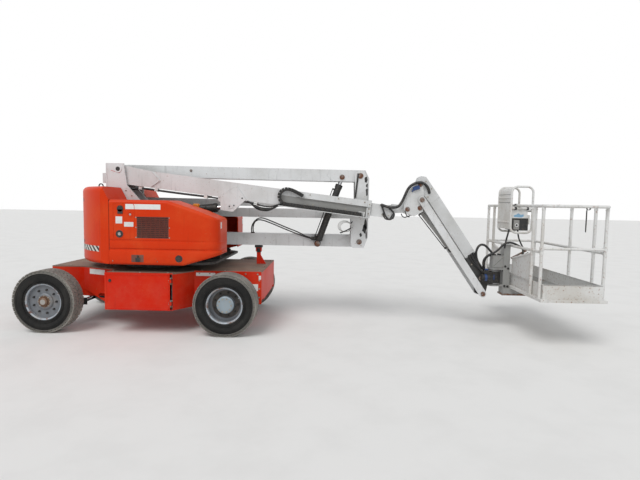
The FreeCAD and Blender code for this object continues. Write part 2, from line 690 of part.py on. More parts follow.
def chassis():
    keep("chassis_frame", chassis_frame())
    keep("deck", deck())
    keep("battery_boxes", pair(battery_box))
    keep("batteries", pair(batteries))
    keep("drive_gearboxes", pair(gearbox))
    for side, word in ((-1, "right"), (1, "left")):
        keep("battery_door_" + word, battery_door(side))
        keep("steer_knuckle_" + word, steer_knuckle(side))
    keep("steer_axle", steer_axle())
    keep("tie_rod", tie_rod())
    keep("boom_rest", boom_rest())
    ring = rod_z(0, 0, BEARING_OUTER_R, DECK_Z, TURNTABLE_Z - 6)
    keep("swing_bearing", ring.cut(rod_z(0, 0, BEARING_INNER_R, DECK_Z - 1, TURNTABLE_Z)))


# Turntable

def turntable_frame():
    z0 = TURNTABLE_Z
    z1 = TURNTABLE_Z + TURNTABLE_PLATE
    inset = 25
    x0 = SEAM_X
    x1 = COVER_END_X - 60
    half = COVER_HALF - 60
    base = plate_xy([(x0, -half), (x1 - 110, -half), (x1, -half + 110), (x1, half - 110), (x1 - 110, half),
                     (x0, half),
                     (x0, SLOT_FAR_Y - 10), (WEIGHT_NOTCH_X + inset, SLOT_FAR_Y - 10),
                     (WEIGHT_NOTCH_X + inset, SLOT_NEAR_Y + 10), (x0, SLOT_NEAR_Y + 10)], z0, z1)
    webs = []
    for y in (SLOT_NEAR_Y + 20, SLOT_FAR_Y - 20 - PLATE):
        webs.append(plate_xz([(WEIGHT_NOTCH_X + inset, z1 - 1), (x1 - 30, z1 - 1), (x1 - 30, z1 + 60),
                              (WEB_FALL_X, z1 + WEB_HEIGHT), (WEIGHT_NOTCH_X + inset, z1 + WEB_HEIGHT)],
                             y, y + PLATE))
    boss = rod_z(0, 0, BEARING_INNER_R - 10, DECK_Z + 6, z0 + 1)
    rails = []
    for side in (-1, 1):
        y0, y1 = sorted((side * (COVER_HINGE_Y - 20), side * (COVER_HINGE_Y - 32)))
        rails.append(box(RAIL_X0, RAIL_X1, y0, y1, COVER_TOP_Z - 60, COVER_TOP_Z - 12))
        rails.append(box(RAIL_X0, RAIL_X0 + RAIL_POST, y0, y1, z1 - 1, COVER_TOP_Z - 59))
        rails.append(box(RAIL_X1 - RAIL_POST, RAIL_X1, y0, y1, z1 - 1, COVER_TOP_Z - 59))
    stand = [(RISER_LEFT_X - 110, z1 - 1), (RISER_LEFT_X + 260, z1 - 1), (RISER_LEFT_X + 70, LOWER_LINK_Z),
             (RISER_LEFT_X + 45, LOWER_LINK_Z + 55), (RISER_LEFT_X - 60, LOWER_LINK_Z + 55)]
    plates = [plate_xz(stand, STAND_NEAR_Y - PLATE, STAND_NEAR_Y),
              plate_xz(stand, STAND_FAR_Y, STAND_FAR_Y + PLATE)]
    pins = [rod_y(RISER_LEFT_X, z, RISER_PIN_RADIUS, STAND_NEAR_Y - PLATE - PIN_HEAD,
                  STAND_FAR_Y + PLATE + PIN_HEAD)
            for z in (LOWER_ARM_Z, LOWER_LINK_Z)]
    return fuse([base, boss] + webs + rails + plates + pins)


def counterweight():
    disc = rod_z(0, 0, TAIL_RADIUS, TURNTABLE_Z, WEIGHT_TOP_Z)
    keep_box = box(-TAIL_RADIUS, SEAM_X, -COVER_HALF, COVER_HALF, TURNTABLE_Z, WEIGHT_TOP_Z)
    body = disc.common(keep_box)
    wedge = plate_xz([(SEAM_X - 75, WEIGHT_TOP_Z + 1), (SEAM_X + 1, WEIGHT_TOP_Z + 1),
                      (SEAM_X + 1, COVER_TOP_Z)],
                     -COVER_HALF - 1, COVER_HALF + 1)
    body = body.cut(wedge)
    notch = box(WEIGHT_NOTCH_X, SEAM_X + 1, SLOT_NEAR_Y, SLOT_FAR_Y, TURNTABLE_Z - 1, WEIGHT_TOP_Z + 1)
    body = body.cut(notch)
    edges = [e for e in body.Edges if e.BoundBox.ZMin > WEIGHT_TOP_Z - 1 and e.BoundBox.XMin < -COVER_HALF]
    if edges:
        body = body.makeFillet(WEIGHT_EDGE, edges)
    low = [e for e in body.Edges if e.BoundBox.ZMax < TURNTABLE_Z + 1 and e.BoundBox.XMin < -COVER_HALF]
    if low:
        body = body.makeFillet(WEIGHT_EDGE * 0.7, low)
    return body


def cover_blank(inset, inner_y):
    # Closed block in the shape of one cover; inset moves every outer face inwards.
    x0 = SEAM_X + SEAM_GAP - (0 if inset == 0 else 1)
    x1 = COVER_END_X - inset
    top = COVER_TOP_Z - inset
    bottom = TURNTABLE_Z - (0 if inset == 0 else 2)
    bend = TURNTABLE_Z + COVER_BEND_RISE - (0 if inset == 0 else 120)
    outline = [(x0, bottom), (COVER_BEND_X, bottom), (x1, bend), (x1, COVER_NOSE_Z - inset),
               (COVER_STEP_X, COVER_STEP_Z - inset), (COVER_FALL_X, top), (x0, top)]
    body = plate_xz(outline, inner_y, COVER_HALF - inset)
    corner = [e for e in body.Edges if abs(e.BoundBox.XMin - x1) < 1 and abs(e.BoundBox.XMax - x1) < 1
              and abs(e.BoundBox.YMin - COVER_HALF + inset) < 1 and e.BoundBox.ZLength > 200]
    body = body.makeFillet(COVER_CORNER - inset, corner)
    if inset > 0:
        return body
    upper = [e for e in body.Edges if e.BoundBox.YMin > COVER_HALF - 1 and e.BoundBox.ZMin > COVER_NOSE_Z - 1
             and e.BoundBox.XLength > 100]
    return body.makeFillet(COVER_EDGE, upper)


def turntable_cover(side):
    outer = cover_blank(0.0, COVER_HINGE_Y)
    inner = cover_blank(COVER_WALL, COVER_HINGE_Y - 1)
    shell = outer.cut(inner)
    groove = box(SEAM_X, COVER_END_X + 5, COVER_HALF - 3, COVER_HALF + 1, CREASE_Z, CREASE_Z + 10)
    band = box(SEAM_X, COVER_END_X + 5, COVER_HALF - 3, COVER_HALF + 1, CREASE_Z - 95, CREASE_Z - 86)
    window = box(GRILLE_X0, GRILLE_X1, COVER_HALF - 40, COVER_HALF + 10, GRILLE_Z0, GRILLE_Z1)
    shell = cut(shell, [groove, band, window])
    hinge = Part.makeCylinder(COVER_HINGE_RADIUS, COVER_HINGE_LENGTH,
                              V(COVER_HINGE_X0, COVER_HINGE_Y, COVER_HINGE_Z),
                              V(1, 0, 0))
    whole = fuse([shell, hinge])
    return whole if side > 0 else mirror_y(whole)


def grille(side):
    y1 = COVER_HALF - 1
    frame = box(GRILLE_X0, GRILLE_X1, y1 - 10, y1, GRILLE_Z0, GRILLE_Z1)
    frame = frame.cut(box(GRILLE_X0 + 8, GRILLE_X1 - 8, y1 - 11, y1 + 1, GRILLE_Z0 + 8, GRILLE_Z1 - 8))
    pieces = [frame]
    pitch = (GRILLE_Z1 - GRILLE_Z0 - 8) / GRILLE_SLATS
    for n in range(1, GRILLE_SLATS):
        z = GRILLE_Z0 + 4 + n * pitch
        pieces.append(box(GRILLE_X0 + 4, GRILLE_X1 - 4, y1 - 8, y1 - 2, z - 5, z + 5))
    step = (GRILLE_X1 - GRILLE_X0) / (GRILLE_BARS + 1)
    for n in range(1, GRILLE_BARS + 1):
        x = GRILLE_X0 + n * step
        pieces.append(box(x - 3, x + 3, y1 - 10, y1 - 4, GRILLE_Z0 + 4, GRILLE_Z1 - 4))
    whole = fuse(pieces)
    return whole if side > 0 else mirror_y(whole)


def beacon():
    # Amber lamp on a bracket beside the riser slot.
    y = SLOT_NEAR_Y + 20 + PLATE / 2
    z0 = BEACON_Z
    stem = rod_z(BEACON_X, y, PLATE / 2, TURNTABLE_Z + TURNTABLE_PLATE + WEB_HEIGHT, z0 + 4)
    base = rod_z(BEACON_X, y, BEACON_RADIUS + 6, z0, z0 + 18)
    dome = rod_z(BEACON_X, y, BEACON_RADIUS, z0 + 18, z0 + BEACON_HEIGHT)
    top = [e for e in dome.Edges if e.BoundBox.ZMin > z0 + BEACON_HEIGHT - 1]
    return fuse([stem, base]), dome.makeFillet(14, top)


def turntable():
    keep("turntable_frame", turntable_frame())
    keep("counterweight", counterweight())
    z1 = TURNTABLE_Z + TURNTABLE_PLATE
    wall = COVER_HALF - BLOCK_INSET
    keep("power_unit", box(BLOCK_X0, POWER_UNIT_X1, -wall, SLOT_NEAR_Y - 55, z1, POWER_UNIT_TOP_Z))
    keep("fluid_tank", box(BLOCK_X0, TANK_X1, SLOT_FAR_Y + 60, wall, z1, TANK_TOP_Z))
    for side, word in ((-1, "right"), (1, "left")):
        keep("cover_" + word, turntable_cover(side))
        keep("grille_" + word, grille(side))
    stem, dome = beacon()
    keep("beacon_stand", stem)
    keep("beacon", dome)


# Riser

def pin_bore(x, z, y0, y1):
    return rod_y(x, z, RISER_PIN_RADIUS + PIN_GAP, y0 - 1, y1 + 1)


def open_pin(x, z, radius, y, barrel_radius, y0, y1):
    # The rod's eye stands free between two pin ends.
    reach = barrel_radius * EYE_SHARE + OPEN_PIN_GAP
    return [rod_y(x, z, radius, y0, y - reach), rod_y(x, z, radius, y + reach, y1)]


def hollow_arm(left, right, depth, y0, y1):
    whole = link_bar(left, right, depth, y0, y1)
    length = math.hypot(right[0] - left[0], right[1] - left[1])
    tilt = math.degrees(math.atan2(right[1] - left[1], right[0] - left[0]))
    half = depth / 2 - ARM_WALL
    inside = box(left[0] + 110, left[0] + length - 110, y0 + ARM_WALL, y1 - ARM_WALL, left[1] - half,
                 left[1] + half)
    whole = whole.cut(turned(inside, left, tilt))
    return cut(whole, [pin_bore(left[0], left[1], y0, y1), pin_bore(right[0], right[1], y0, y1)])


def lower_arm():
    left = (RISER_LEFT_X, LOWER_ARM_Z)
    right = (RISER_RIGHT_X, LOWER_ARM_Z)
    arm = hollow_arm(left, right, LOWER_ARM_DEPTH, LOWER_ARM_Y0, LOWER_ARM_Y1)
    pin = rod_y(RISER_CYL_BASE_X, RISER_CYL_BASE_Z, RISER_PIN_RADIUS,
                RISER_CYL_Y - RISER_BARREL_RADIUS - 6, LOWER_ARM_Y1)
    cap = rod_y(RISER_CYL_BASE_X, RISER_CYL_BASE_Z, RISER_PIN_RADIUS + 10,
                RISER_CYL_Y - RISER_BARREL_RADIUS - 12,
                RISER_CYL_Y - RISER_BARREL_RADIUS - 4)
    return fuse([arm, pin, cap])


def upper_arm():
    left = (RISER_LEFT_X, UPPER_ARM_LEFT_Z)
    right = (RISER_RIGHT_X, UPPER_ARM_RIGHT_Z)
    arm = hollow_arm(left, right, UPPER_ARM_DEPTH, UPPER_ARM_Y0, UPPER_ARM_Y1)
    slot_x0 = RISER_CYL_ROD_X - 230
    slot_x1 = RISER_RIGHT_X - 75
    z0 = UPPER_ARM_RIGHT_Z - UPPER_ARM_DEPTH
    slot = box(slot_x0, slot_x1, UPPER_ARM_Y0 + ARM_WALL, RISER_CYL_Y + RISER_BARREL_RADIUS + 12, z0,
               UPPER_ARM_RIGHT_Z + 58)
    arm = arm.cut(slot)
    pins = open_pin(RISER_CYL_ROD_X, RISER_CYL_ROD_Z, RISER_PIN_RADIUS, RISER_CYL_Y, RISER_BARREL_RADIUS,
                    UPPER_ARM_Y0 - 8, UPPER_ARM_Y1 + 8)
    return fuse([arm] + pins)


def mid_pivot():
    x = RISER_RIGHT_X
    outline = [(x - MID_HALF_LEFT + 25, LOWER_ARM_Z - 78), (x + 60, LOWER_ARM_Z - 78),
               (x + MID_HALF_RIGHT, LOWER_ARM_Z + 60),
               (x + MID_HALF_RIGHT, UPPER_ARM_RIGHT_Z - 30), (x + 60, UPPER_ARM_RIGHT_Z + 70),
               (x - 30, UPPER_ARM_RIGHT_Z + 70), (x - 70, UPPER_ARM_RIGHT_Z + 20), (x - 60, LOWER_LINK_Z),
               (x - MID_HALF_LEFT, LOWER_LINK_Z - 60), (x - MID_HALF_LEFT, LOWER_ARM_Z - 40)]
    near = plate_xz(outline, MID_NEAR_Y - PLATE, MID_NEAR_Y)
    far = plate_xz(outline, MID_FAR_Y, MID_FAR_Y + PLATE)
    web = box(x + MID_HALF_RIGHT - PLATE, x + MID_HALF_RIGHT, MID_NEAR_Y - 1, MID_FAR_Y + 1,
              LOWER_ARM_Z + 60,
              UPPER_ARM_RIGHT_Z - 30)
    pins = [rod_y(x, z, RISER_PIN_RADIUS, MID_NEAR_Y - PLATE - PIN_HEAD, MID_FAR_Y + PLATE + PIN_HEAD)
            for z in (LOWER_ARM_Z, LOWER_LINK_Z, UPPER_LINK_RIGHT_Z, UPPER_ARM_RIGHT_Z)]
    return fuse([near, far, web] + pins)


def upper_pivot():
    px, pz = BOOM_PIVOT
    low = UPPER_BACK_Z
    top_edge = [(UPPER_LEFT_X, UPPER_TOP_Z), (UPPER_RIGHT_X, UPPER_TOP_Z)]
    near_outline = top_edge + UPPER_FRONT + [(UPPER_LEFT_X, low)]
    far_outline = top_edge + [(px + 74, UPPER_LINK_LEFT_Z - 40), (px + 34, UPPER_LINK_LEFT_Z - 66),
                              (px - 36, UPPER_LINK_LEFT_Z - 66), (UPPER_LEFT_X, low)]
    near = plate_xz(near_outline, UPPER_NEAR_Y - PLATE, UPPER_NEAR_Y)
    middle = plate_xz(near_outline, UPPER_MID_Y - PLATE, UPPER_MID_Y)
    far = plate_xz(far_outline, UPPER_FAR_Y, UPPER_FAR_Y + PLATE)
    web = box(UPPER_LEFT_X, UPPER_LEFT_X + PLATE, UPPER_NEAR_Y - 1, UPPER_FAR_Y + 1, low, UPPER_TOP_Z)
    pins = [rod_y(px, pz, BOOM_PIN_RADIUS, UPPER_NEAR_Y - PLATE - PIN_HEAD, UPPER_FAR_Y + PLATE + PIN_HEAD),
            rod_y(px, UPPER_LINK_LEFT_Z, RISER_PIN_RADIUS, UPPER_MID_Y - PLATE,
                  UPPER_FAR_Y + PLATE + PIN_HEAD),
            rod_y(BOOM_CYL_BASE_X, BOOM_CYL_BASE_Z, RISER_PIN_RADIUS, UPPER_NEAR_Y - PLATE, UPPER_MID_Y)]
    gauge = box(UPPER_LEFT_X - GAUGE_REACH, UPPER_LEFT_X + 1, GAUGE_Y0, GAUGE_Y1, GAUGE_Z0, GAUGE_Z1)
    return fuse([near, middle, far, web, gauge] + pins)


def cylinder_pair(base, top, y, barrel_radius, rod_radius, barrel_length, base_pin, top_pin,
                  top_eye_radius, back):
    # Barrel with a closed base eye, and the rod with its own eye, each a solid of its own.
    bx, bz = base
    tx, tz = top
    length = math.hypot(tx - bx, tz - bz)
    tilt = math.degrees(math.atan2(tz - bz, tx - bx))
    eye = barrel_radius * 0.98
    start = base_pin + 18
    floor = 30.0
    barrel = Part.makeCylinder(barrel_radius, barrel_length, V(bx + start, y, bz), V(1, 0, 0))
    bore = Part.makeCylinder(rod_radius + PIN_GAP, barrel_length, V(bx + start + floor, y, bz), V(1, 0, 0))
    eye_half = barrel_radius * EYE_SHARE
    base_eye = fuse([rod_y(bx, bz, eye, y - eye_half, y + eye_half),
                     box(bx, bx + start + 5, y - eye_half, y + eye_half, bz - eye * 0.7, bz + eye * 0.7)])
    barrel = fuse([barrel, base_eye]).cut(bore)
    barrel = barrel.cut(rod_y(bx, bz, base_pin + PIN_GAP, y - eye_half - 1, y + eye_half + 1))
    rod_start = bx + start + floor + back + 5
    bar = Part.makeCylinder(rod_radius, bx + length - rod_start - top_pin, V(rod_start, y, bz), V(1, 0, 0))
    top_eye = rod_y(bx + length, bz, top_eye_radius, y - eye_half, y + eye_half)
    moving = fuse([bar, top_eye]).cut(rod_y(bx + length, bz, top_pin + PIN_GAP * 2, y - eye_half - 1,
                                            y + eye_half + 1))
    return turned(barrel, base, tilt), turned(moving, base, tilt)


def riser():
    keep("lower_arm", lower_arm())
    keep("upper_arm", upper_arm())
    low_left, low_right = (RISER_LEFT_X, LOWER_LINK_Z), (RISER_RIGHT_X, LOWER_LINK_Z)
    keep("lower_link", hollow_arm(low_left, low_right, LOWER_LINK_DEPTH, LINK_Y0, LINK_Y1))
    up_left, up_right = (RISER_LEFT_X, UPPER_LINK_LEFT_Z), (RISER_RIGHT_X, UPPER_LINK_RIGHT_Z)
    keep("upper_link", hollow_arm(up_left, up_right, UPPER_LINK_DEPTH, LINK_Y0, LINK_Y1))
    keep("mid_pivot", mid_pivot())
    keep("upper_pivot", upper_pivot())
    base = (RISER_CYL_BASE_X, RISER_CYL_BASE_Z)
    top = (RISER_CYL_ROD_X, RISER_CYL_ROD_Z)
    barrel, moving = cylinder_pair(base, top, RISER_CYL_Y, RISER_BARREL_RADIUS, RISER_ROD_RADIUS,
                                   RISER_BARREL_LENGTH, RISER_PIN_RADIUS, RISER_PIN_RADIUS, ROD_EYE, 0.0)
    keep("riser_cylinder_barrel", barrel)
    keep("riser_cylinder_rod", moving)


# Main boom, drawn level with its pivot at the local origin and then tilted down

def boom_lay(shape):
    shape = shape.copy()
    shape.translate(V(BOOM_PIVOT[0], 0, BOOM_PIVOT[1]))
    return turned(shape, BOOM_PIVOT, -BOOM_TILT)


def main_boom():
    half = BOOM_WIDTH / 2
    low = -BOOM_DROP - BOOM_DEPTH / 2
    high = -BOOM_DROP + BOOM_DEPTH / 2
    tube = box(-BOOM_TAIL, BOOM_LENGTH, BOOM_Y - half, BOOM_Y + half, low, high)
    inside = box(-BOOM_TAIL - 1, BOOM_LENGTH + 1, BOOM_Y - half + BOOM_WALL, BOOM_Y + half - BOOM_WALL,
                 low + BOOM_WALL, high - BOOM_WALL)
    tail_slot = box(-BOOM_TAIL - 1, 45, BOOM_Y - half + BOOM_WALL, BOOM_Y + half - BOOM_WALL,
                    high - BOOM_WALL - 1, high + 1)
    tube = cut(tube, [inside, tail_slot])
    plates = []
    tail = [(-BOOM_TAIL, low), (TAIL_PLATE - 110, low), (TAIL_PLATE, -BOOM_DROP), (TAIL_PLATE - 110, high),
            (60.0, high + 26), (-50.0, high + 26), (-BOOM_TAIL, high - 10)]
    for side in (-1, 1):
        y0, y1 = sorted((BOOM_Y + side * (half + DOUBLER), BOOM_Y + side * (half - BOOM_WALL)))
        plates.append(plate_xz(tail, y0, y1))
    bracket_u = (BOOM_CYL_ROD_X - BOOM_PIVOT[0]) / math.cos(math.radians(BOOM_TILT))
    lug = [(bracket_u - 135, low + 1), (bracket_u + 165, low + 1), (bracket_u + 120, low - 60),
           (bracket_u + 75, low - 130), (bracket_u - 10, low - 130), (bracket_u - 135, low - 40)]
    for side in (-1, 1):
        y0, y1 = sorted((BOOM_Y + side * BOOM_BRACKET_HALF, BOOM_Y + side * (BOOM_BRACKET_HALF + 14)))
        plates.append(plate_xz(lug, y0, y1))
    whole = fuse([tube] + plates)
    whole = whole.cut(rod_y(0, 0, BOOM_PIN_RADIUS + PIN_GAP, BOOM_Y - half - 30, BOOM_Y + half + 30))
    whole = boom_lay(whole)
    pins = open_pin(BOOM_CYL_ROD_X, BOOM_CYL_ROD_Z, RISER_PIN_RADIUS, BOOM_Y, BOOM_BARREL_RADIUS,
                    BOOM_Y - BOOM_BRACKET_HALF - 20, BOOM_Y + BOOM_BRACKET_HALF + 20)
    return fuse([whole] + pins)


def boom_extension():
    half = EXT_WIDTH / 2
    low = -BOOM_DROP - EXT_DEPTH / 2
    high = -BOOM_DROP + EXT_DEPTH / 2
    tube = box(EXT_START, EXT_END, BOOM_Y - half, BOOM_Y + half, low, high)
    inside = box(EXT_START - 1, EXT_END - 30, BOOM_Y - half + BOOM_WALL, BOOM_Y + half - BOOM_WALL,
                 low + BOOM_WALL, high - BOOM_WALL)
    tube = boom_lay(tube.cut(inside))
    x, z = KNUCKLE_PIN_X, KNUCKLE_PIN_Z
    lugs = []
    for side in (-1, 1):
        y0, y1 = sorted((BOOM_Y + side * (KNUCKLE_HALF - 8), BOOM_Y + side * (KNUCKLE_HALF - 28)))
        lug = plate_xz([(x - 180, z - 52), (x - 20, z - 42), (x - 20, z + 42), (x - 180, z + 60)], y0, y1)
        lugs.append(fuse([lug, rod_y(x, z, 42, y0, y1)]))
    whole = fuse([tube] + lugs)
    return whole.cut(rod_y(x, z, JIB_PIN_RADIUS + PIN_GAP, BOOM_Y - 100, BOOM_Y + 100))


def boom():
    keep("main_boom", main_boom())
    keep("boom_extension", boom_extension())
    base = (BOOM_CYL_BASE_X, BOOM_CYL_BASE_Z)
    top = (BOOM_CYL_ROD_X, BOOM_CYL_ROD_Z)
    barrel, moving = cylinder_pair(base, top, BOOM_Y, BOOM_BARREL_RADIUS, BOOM_ROD_RADIUS,
                                   BOOM_BARREL_LENGTH, RISER_PIN_RADIUS, RISER_PIN_RADIUS, ROD_EYE, 0.0)
    keep("boom_cylinder_barrel", barrel)
    keep("boom_cylinder_rod", moving)


# Jib, drawn along X from its top pin and then turned down

def jib_lay(shape):
    shape = shape.copy()
    shape.translate(V(JIB_TOP_X, 0, JIB_TOP_Z))
    return turned(shape, (JIB_TOP_X, JIB_TOP_Z), JIB_ANGLE)


def jib_point(s, n):
    a = math.radians(JIB_ANGLE)
    return (JIB_TOP_X + s * math.cos(a) - n * math.sin(a), JIB_TOP_Z + s * math.sin(a) + n * math.cos(a))


def jib_knuckle():
    x, z = KNUCKLE_PIN_X, KNUCKLE_PIN_Z
    outline = [(x - 45, z - 45), (x + 20, z - 62), (x + 80, z - 85),
               (JIB_TOP_X + JIB_CYL_BASE_DX + 38, z - 25),
               (JIB_LOW_X + 30, JIB_LOW_Z - 20), (JIB_LOW_X + 32, JIB_LOW_Z + 20),
               (JIB_TOP_X + 34, JIB_TOP_Z),
               (JIB_TOP_X + 15, JIB_TOP_Z + 36), (JIB_TOP_X - 35, JIB_TOP_Z + 30),
               (JIB_TOP_X - 120, JIB_TOP_Z - 70),
               (x - 45, z + 60)]
    plates = []
    for side in (-1, 1):
        y0, y1 = sorted((BOOM_Y + side * KNUCKLE_HALF, BOOM_Y + side * (KNUCKLE_HALF + KNUCKLE_PLATE)))
        plates.append(plate_xz(outline, y0, y1))
    web = box(x - 20, x + 20, BOOM_Y - KNUCKLE_HALF - 1, BOOM_Y + KNUCKLE_HALF + 1, z + 62, z + 80)
    out = KNUCKLE_HALF + KNUCKLE_PLATE + 2
    pins = [rod_y(x, z, JIB_PIN_RADIUS, BOOM_Y - out, BOOM_Y + out),
            rod_y(JIB_TOP_X, JIB_TOP_Z, JIB_PIN_RADIUS, BOOM_Y - out, BOOM_Y + out),
            rod_y(JIB_TOP_X + JIB_CYL_BASE_DX, JIB_TOP_Z + JIB_CYL_BASE_DZ, JIB_PIN_RADIUS, BOOM_Y - out,
                  BOOM_Y + out)]
    for side in (-1, 1):
        y0, y1 = sorted((BOOM_Y + side * (KNUCKLE_HALF + 2), BOOM_Y + side * (ARM_OUT + 6)))
        pins.append(rod_y(JIB_LOW_X, JIB_LOW_Z, JIB_PIN_RADIUS, y0, y1))
    return fuse(plates + [web] + pins)


def jib_beam():
    half = JIB_BEAM_HALF
    tube = box(JIB_BEAM_START, JIB_BEAM_END, BOOM_Y - half, BOOM_Y + half, JIB_BEAM_LOW, JIB_BEAM_HIGH)
    inside = box(JIB_BEAM_START - 1, JIB_BEAM_END + 1, BOOM_Y - half + JIB_WALL, BOOM_Y + half - JIB_WALL,
                 JIB_BEAM_LOW + JIB_WALL, JIB_BEAM_HIGH - JIB_WALL)
    tube = tube.cut(inside)
    cheek = [(-78.0, 30.0), (-78.0, 66.0), (-35.0, 112.0), (JIB_BEAM_START + 40, JIB_BEAM_HIGH),
             (JIB_BEAM_START + 40, JIB_BEAM_LOW), (60.0, -36.0), (-30.0, -36.0)]
    foot = [(JIB_BEAM_END - 60, JIB_BEAM_LOW), (JIB_BEAM_END - 60, JIB_BEAM_HIGH),
            (JIB_BEAM_END + 10, JIB_BEAM_HIGH),
            (JIB_LENGTH, 36.0), (JIB_LENGTH + 36, 0.0), (JIB_LENGTH, -36.0), (JIB_BEAM_END, JIB_BEAM_LOW)]
    plates = []
    for side in (-1, 1):
        y0, y1 = sorted((BOOM_Y + side * half, BOOM_Y + side * (half - 12)))
        plates.append(plate_xz(cheek, y0, y1))
        plates.append(plate_xz(foot, y0, y1))
        l0, l1 = sorted((BOOM_Y + side * 34, BOOM_Y + side * 46))
        lug = [(JIB_CYL_ROD_S - 60, JIB_BEAM_LOW + 1), (JIB_CYL_ROD_S + 50, JIB_BEAM_LOW + 1),
               (JIB_CYL_ROD_S + 24, JIB_CYL_ROD_N - 24), (JIB_CYL_ROD_S - 24, JIB_CYL_ROD_N - 24)]
        plates.append(plate_xz(lug, l0, l1))
    pins = open_pin(JIB_CYL_ROD_S, JIB_CYL_ROD_N, JIB_ROD_PIN_RADIUS, BOOM_Y, JIB_BARREL_RADIUS,
                    BOOM_Y - 50, BOOM_Y + 50)
    whole = fuse([tube] + pins + plates)
    bores = [rod_y(s, 0, JIB_PIN_RADIUS + PIN_GAP, BOOM_Y - half - 1, BOOM_Y + half + 1)
             for s in (0, JIB_LENGTH)]
    return jib_lay(cut(whole, bores))


def levelling_arm(side):
    y0, y1 = sorted((BOOM_Y + side * ARM_IN, BOOM_Y + side * ARM_OUT))
    a = math.radians(JIB_ANGLE)
    top = (JIB_LOW_X, JIB_LOW_Z)
    foot = (JIB_LOW_X + JIB_LENGTH * math.cos(a), JIB_LOW_Z + JIB_LENGTH * math.sin(a))
    bar = link_bar(top, foot, ARM_DEPTH, y0, y1)
    return cut(bar, [rod_y(x, z, JIB_PIN_RADIUS + PIN_GAP, y0 - 1, y1 + 1) for x, z in (top, foot)])


def jib():
    keep("jib_knuckle", jib_knuckle())
    keep("jib_beam", jib_beam())
    keep("levelling_arms", pair(levelling_arm))
    base = (JIB_TOP_X + JIB_CYL_BASE_DX, JIB_TOP_Z + JIB_CYL_BASE_DZ)
    barrel, moving = cylinder_pair(base, jib_point(JIB_CYL_ROD_S, JIB_CYL_ROD_N), BOOM_Y, JIB_BARREL_RADIUS,
                                   JIB_ROD_RADIUS, JIB_BARREL_LENGTH, JIB_PIN_RADIUS, JIB_ROD_PIN_RADIUS,
                                   JIB_ROD_EYE, JIB_BACK_TRAVEL)
    keep("jib_cylinder_barrel", barrel)
    keep("jib_cylinder_rod", moving)


# Platform

def platform_mount():
    bx, bz = jib_point(JIB_LENGTH, 0)
    lx, lz = bx + JIB_LOW_X - JIB_TOP_X, bz + JIB_LOW_Z - JIB_TOP_Z
    outline = [(bx - 40, bz + 20), (bx - 10, bz + 42), (bx + 60, bz + 60),
               (ROTATOR_X - 30, ROTATOR_Z1 - 15),
               (ROTATOR_X - 30, ROTATOR_Z0 + 10), (ROTATOR_X - 95, ROTATOR_Z0 + 10), (lx + 40, lz - 10),
               (lx + 10, lz - 44), (lx - 36, lz - 20)]
    plates = []
    for side in (-1, 1):
        y0, y1 = sorted((BOOM_Y + side * KNUCKLE_HALF, BOOM_Y + side * (KNUCKLE_HALF + KNUCKLE_PLATE)))
        plates.append(plate_xz(outline, y0, y1))
    out = KNUCKLE_HALF + KNUCKLE_PLATE + 2
    pins = [rod_y(bx, bz, JIB_PIN_RADIUS, BOOM_Y - out, BOOM_Y + out)]
    for side in (-1, 1):
        y0, y1 = sorted((BOOM_Y + side * (KNUCKLE_HALF + 2), BOOM_Y + side * (ARM_OUT + 6)))
        pins.append(rod_y(lx, lz, JIB_PIN_RADIUS, y0, y1))
    body = rod_z(ROTATOR_X, BOOM_Y, ROTATOR_RADIUS, ROTATOR_Z0, ROTATOR_Z1)
    web = box(ROTATOR_X - 110, ROTATOR_X - 60, BOOM_Y - KNUCKLE_HALF - 1, BOOM_Y + KNUCKLE_HALF + 1,
              ROTATOR_Z0 + 10,
              ROTATOR_Z1 - 20)
    return fuse(plates + pins + [body, web])


def platform_bracket():
    # Two plates clasp the rotator; the upright post carries the platform.
    plates = []
    up = ROTATOR_Z1 + ROTATOR_GAP
    down = ROTATOR_Z0 - ROTATOR_GAP
    for z0, z1 in ((up, up + CLASP_THICK), (down - CLASP_THICK, down)):
        plates.append(rod_z(ROTATOR_X, BOOM_Y, ROTATOR_RADIUS - 8, z0, z1))
        plates.append(box(ROTATOR_X, POST_X0 + 2, BOOM_Y - POST_HALF, BOOM_Y + POST_HALF, z0, z1))
    post = box(POST_X0, POST_X1, BOOM_Y - POST_HALF, BOOM_Y + POST_HALF, POST_Z0, POST_Z1)
    post = post.cut(box(POST_X0 + 10, POST_X1 - 10, BOOM_Y - POST_HALF + 10, BOOM_Y + POST_HALF - 10,
                        POST_Z0 - 1, POST_Z1 - 10))
    foot = box(POST_X0 - 8, PLATFORM_X0 + 200, BOOM_Y - POST_HALF - 20, BOOM_Y + POST_HALF + 20,
               POST_Z0 - 10, POST_Z0 + 12)
    ribs = [box(POST_X0 + 2, PLATFORM_X0 + 200, BOOM_Y + y - 6, BOOM_Y + y + 6, POST_Z0, FLOOR_Z)
            for y in (-POST_HALF - 8, POST_HALF + 8)]
    # A junction box stands on the upper plate, against the post.
    z0 = up + CLASP_THICK - 1
    junction = box(ROTATOR_X - 34, POST_X0 + 1, BOOM_Y - 55, BOOM_Y + 55, z0, z0 + 151)
    return fuse(plates + [post, foot, junction] + ribs)


def rail_loop(z):
    r = RAIL_RADIUS
    x0, x1 = PLATFORM_X0 + r, PLATFORM_X1 - r
    y0, y1 = PLATFORM_Y0 + r, PLATFORM_Y1 - r
    return [(x0, BOOM_Y, z), (x0, y0, z), (x1, y0, z), (x1, y1, z), (x0, y1, z), (x0, BOOM_Y, z)]


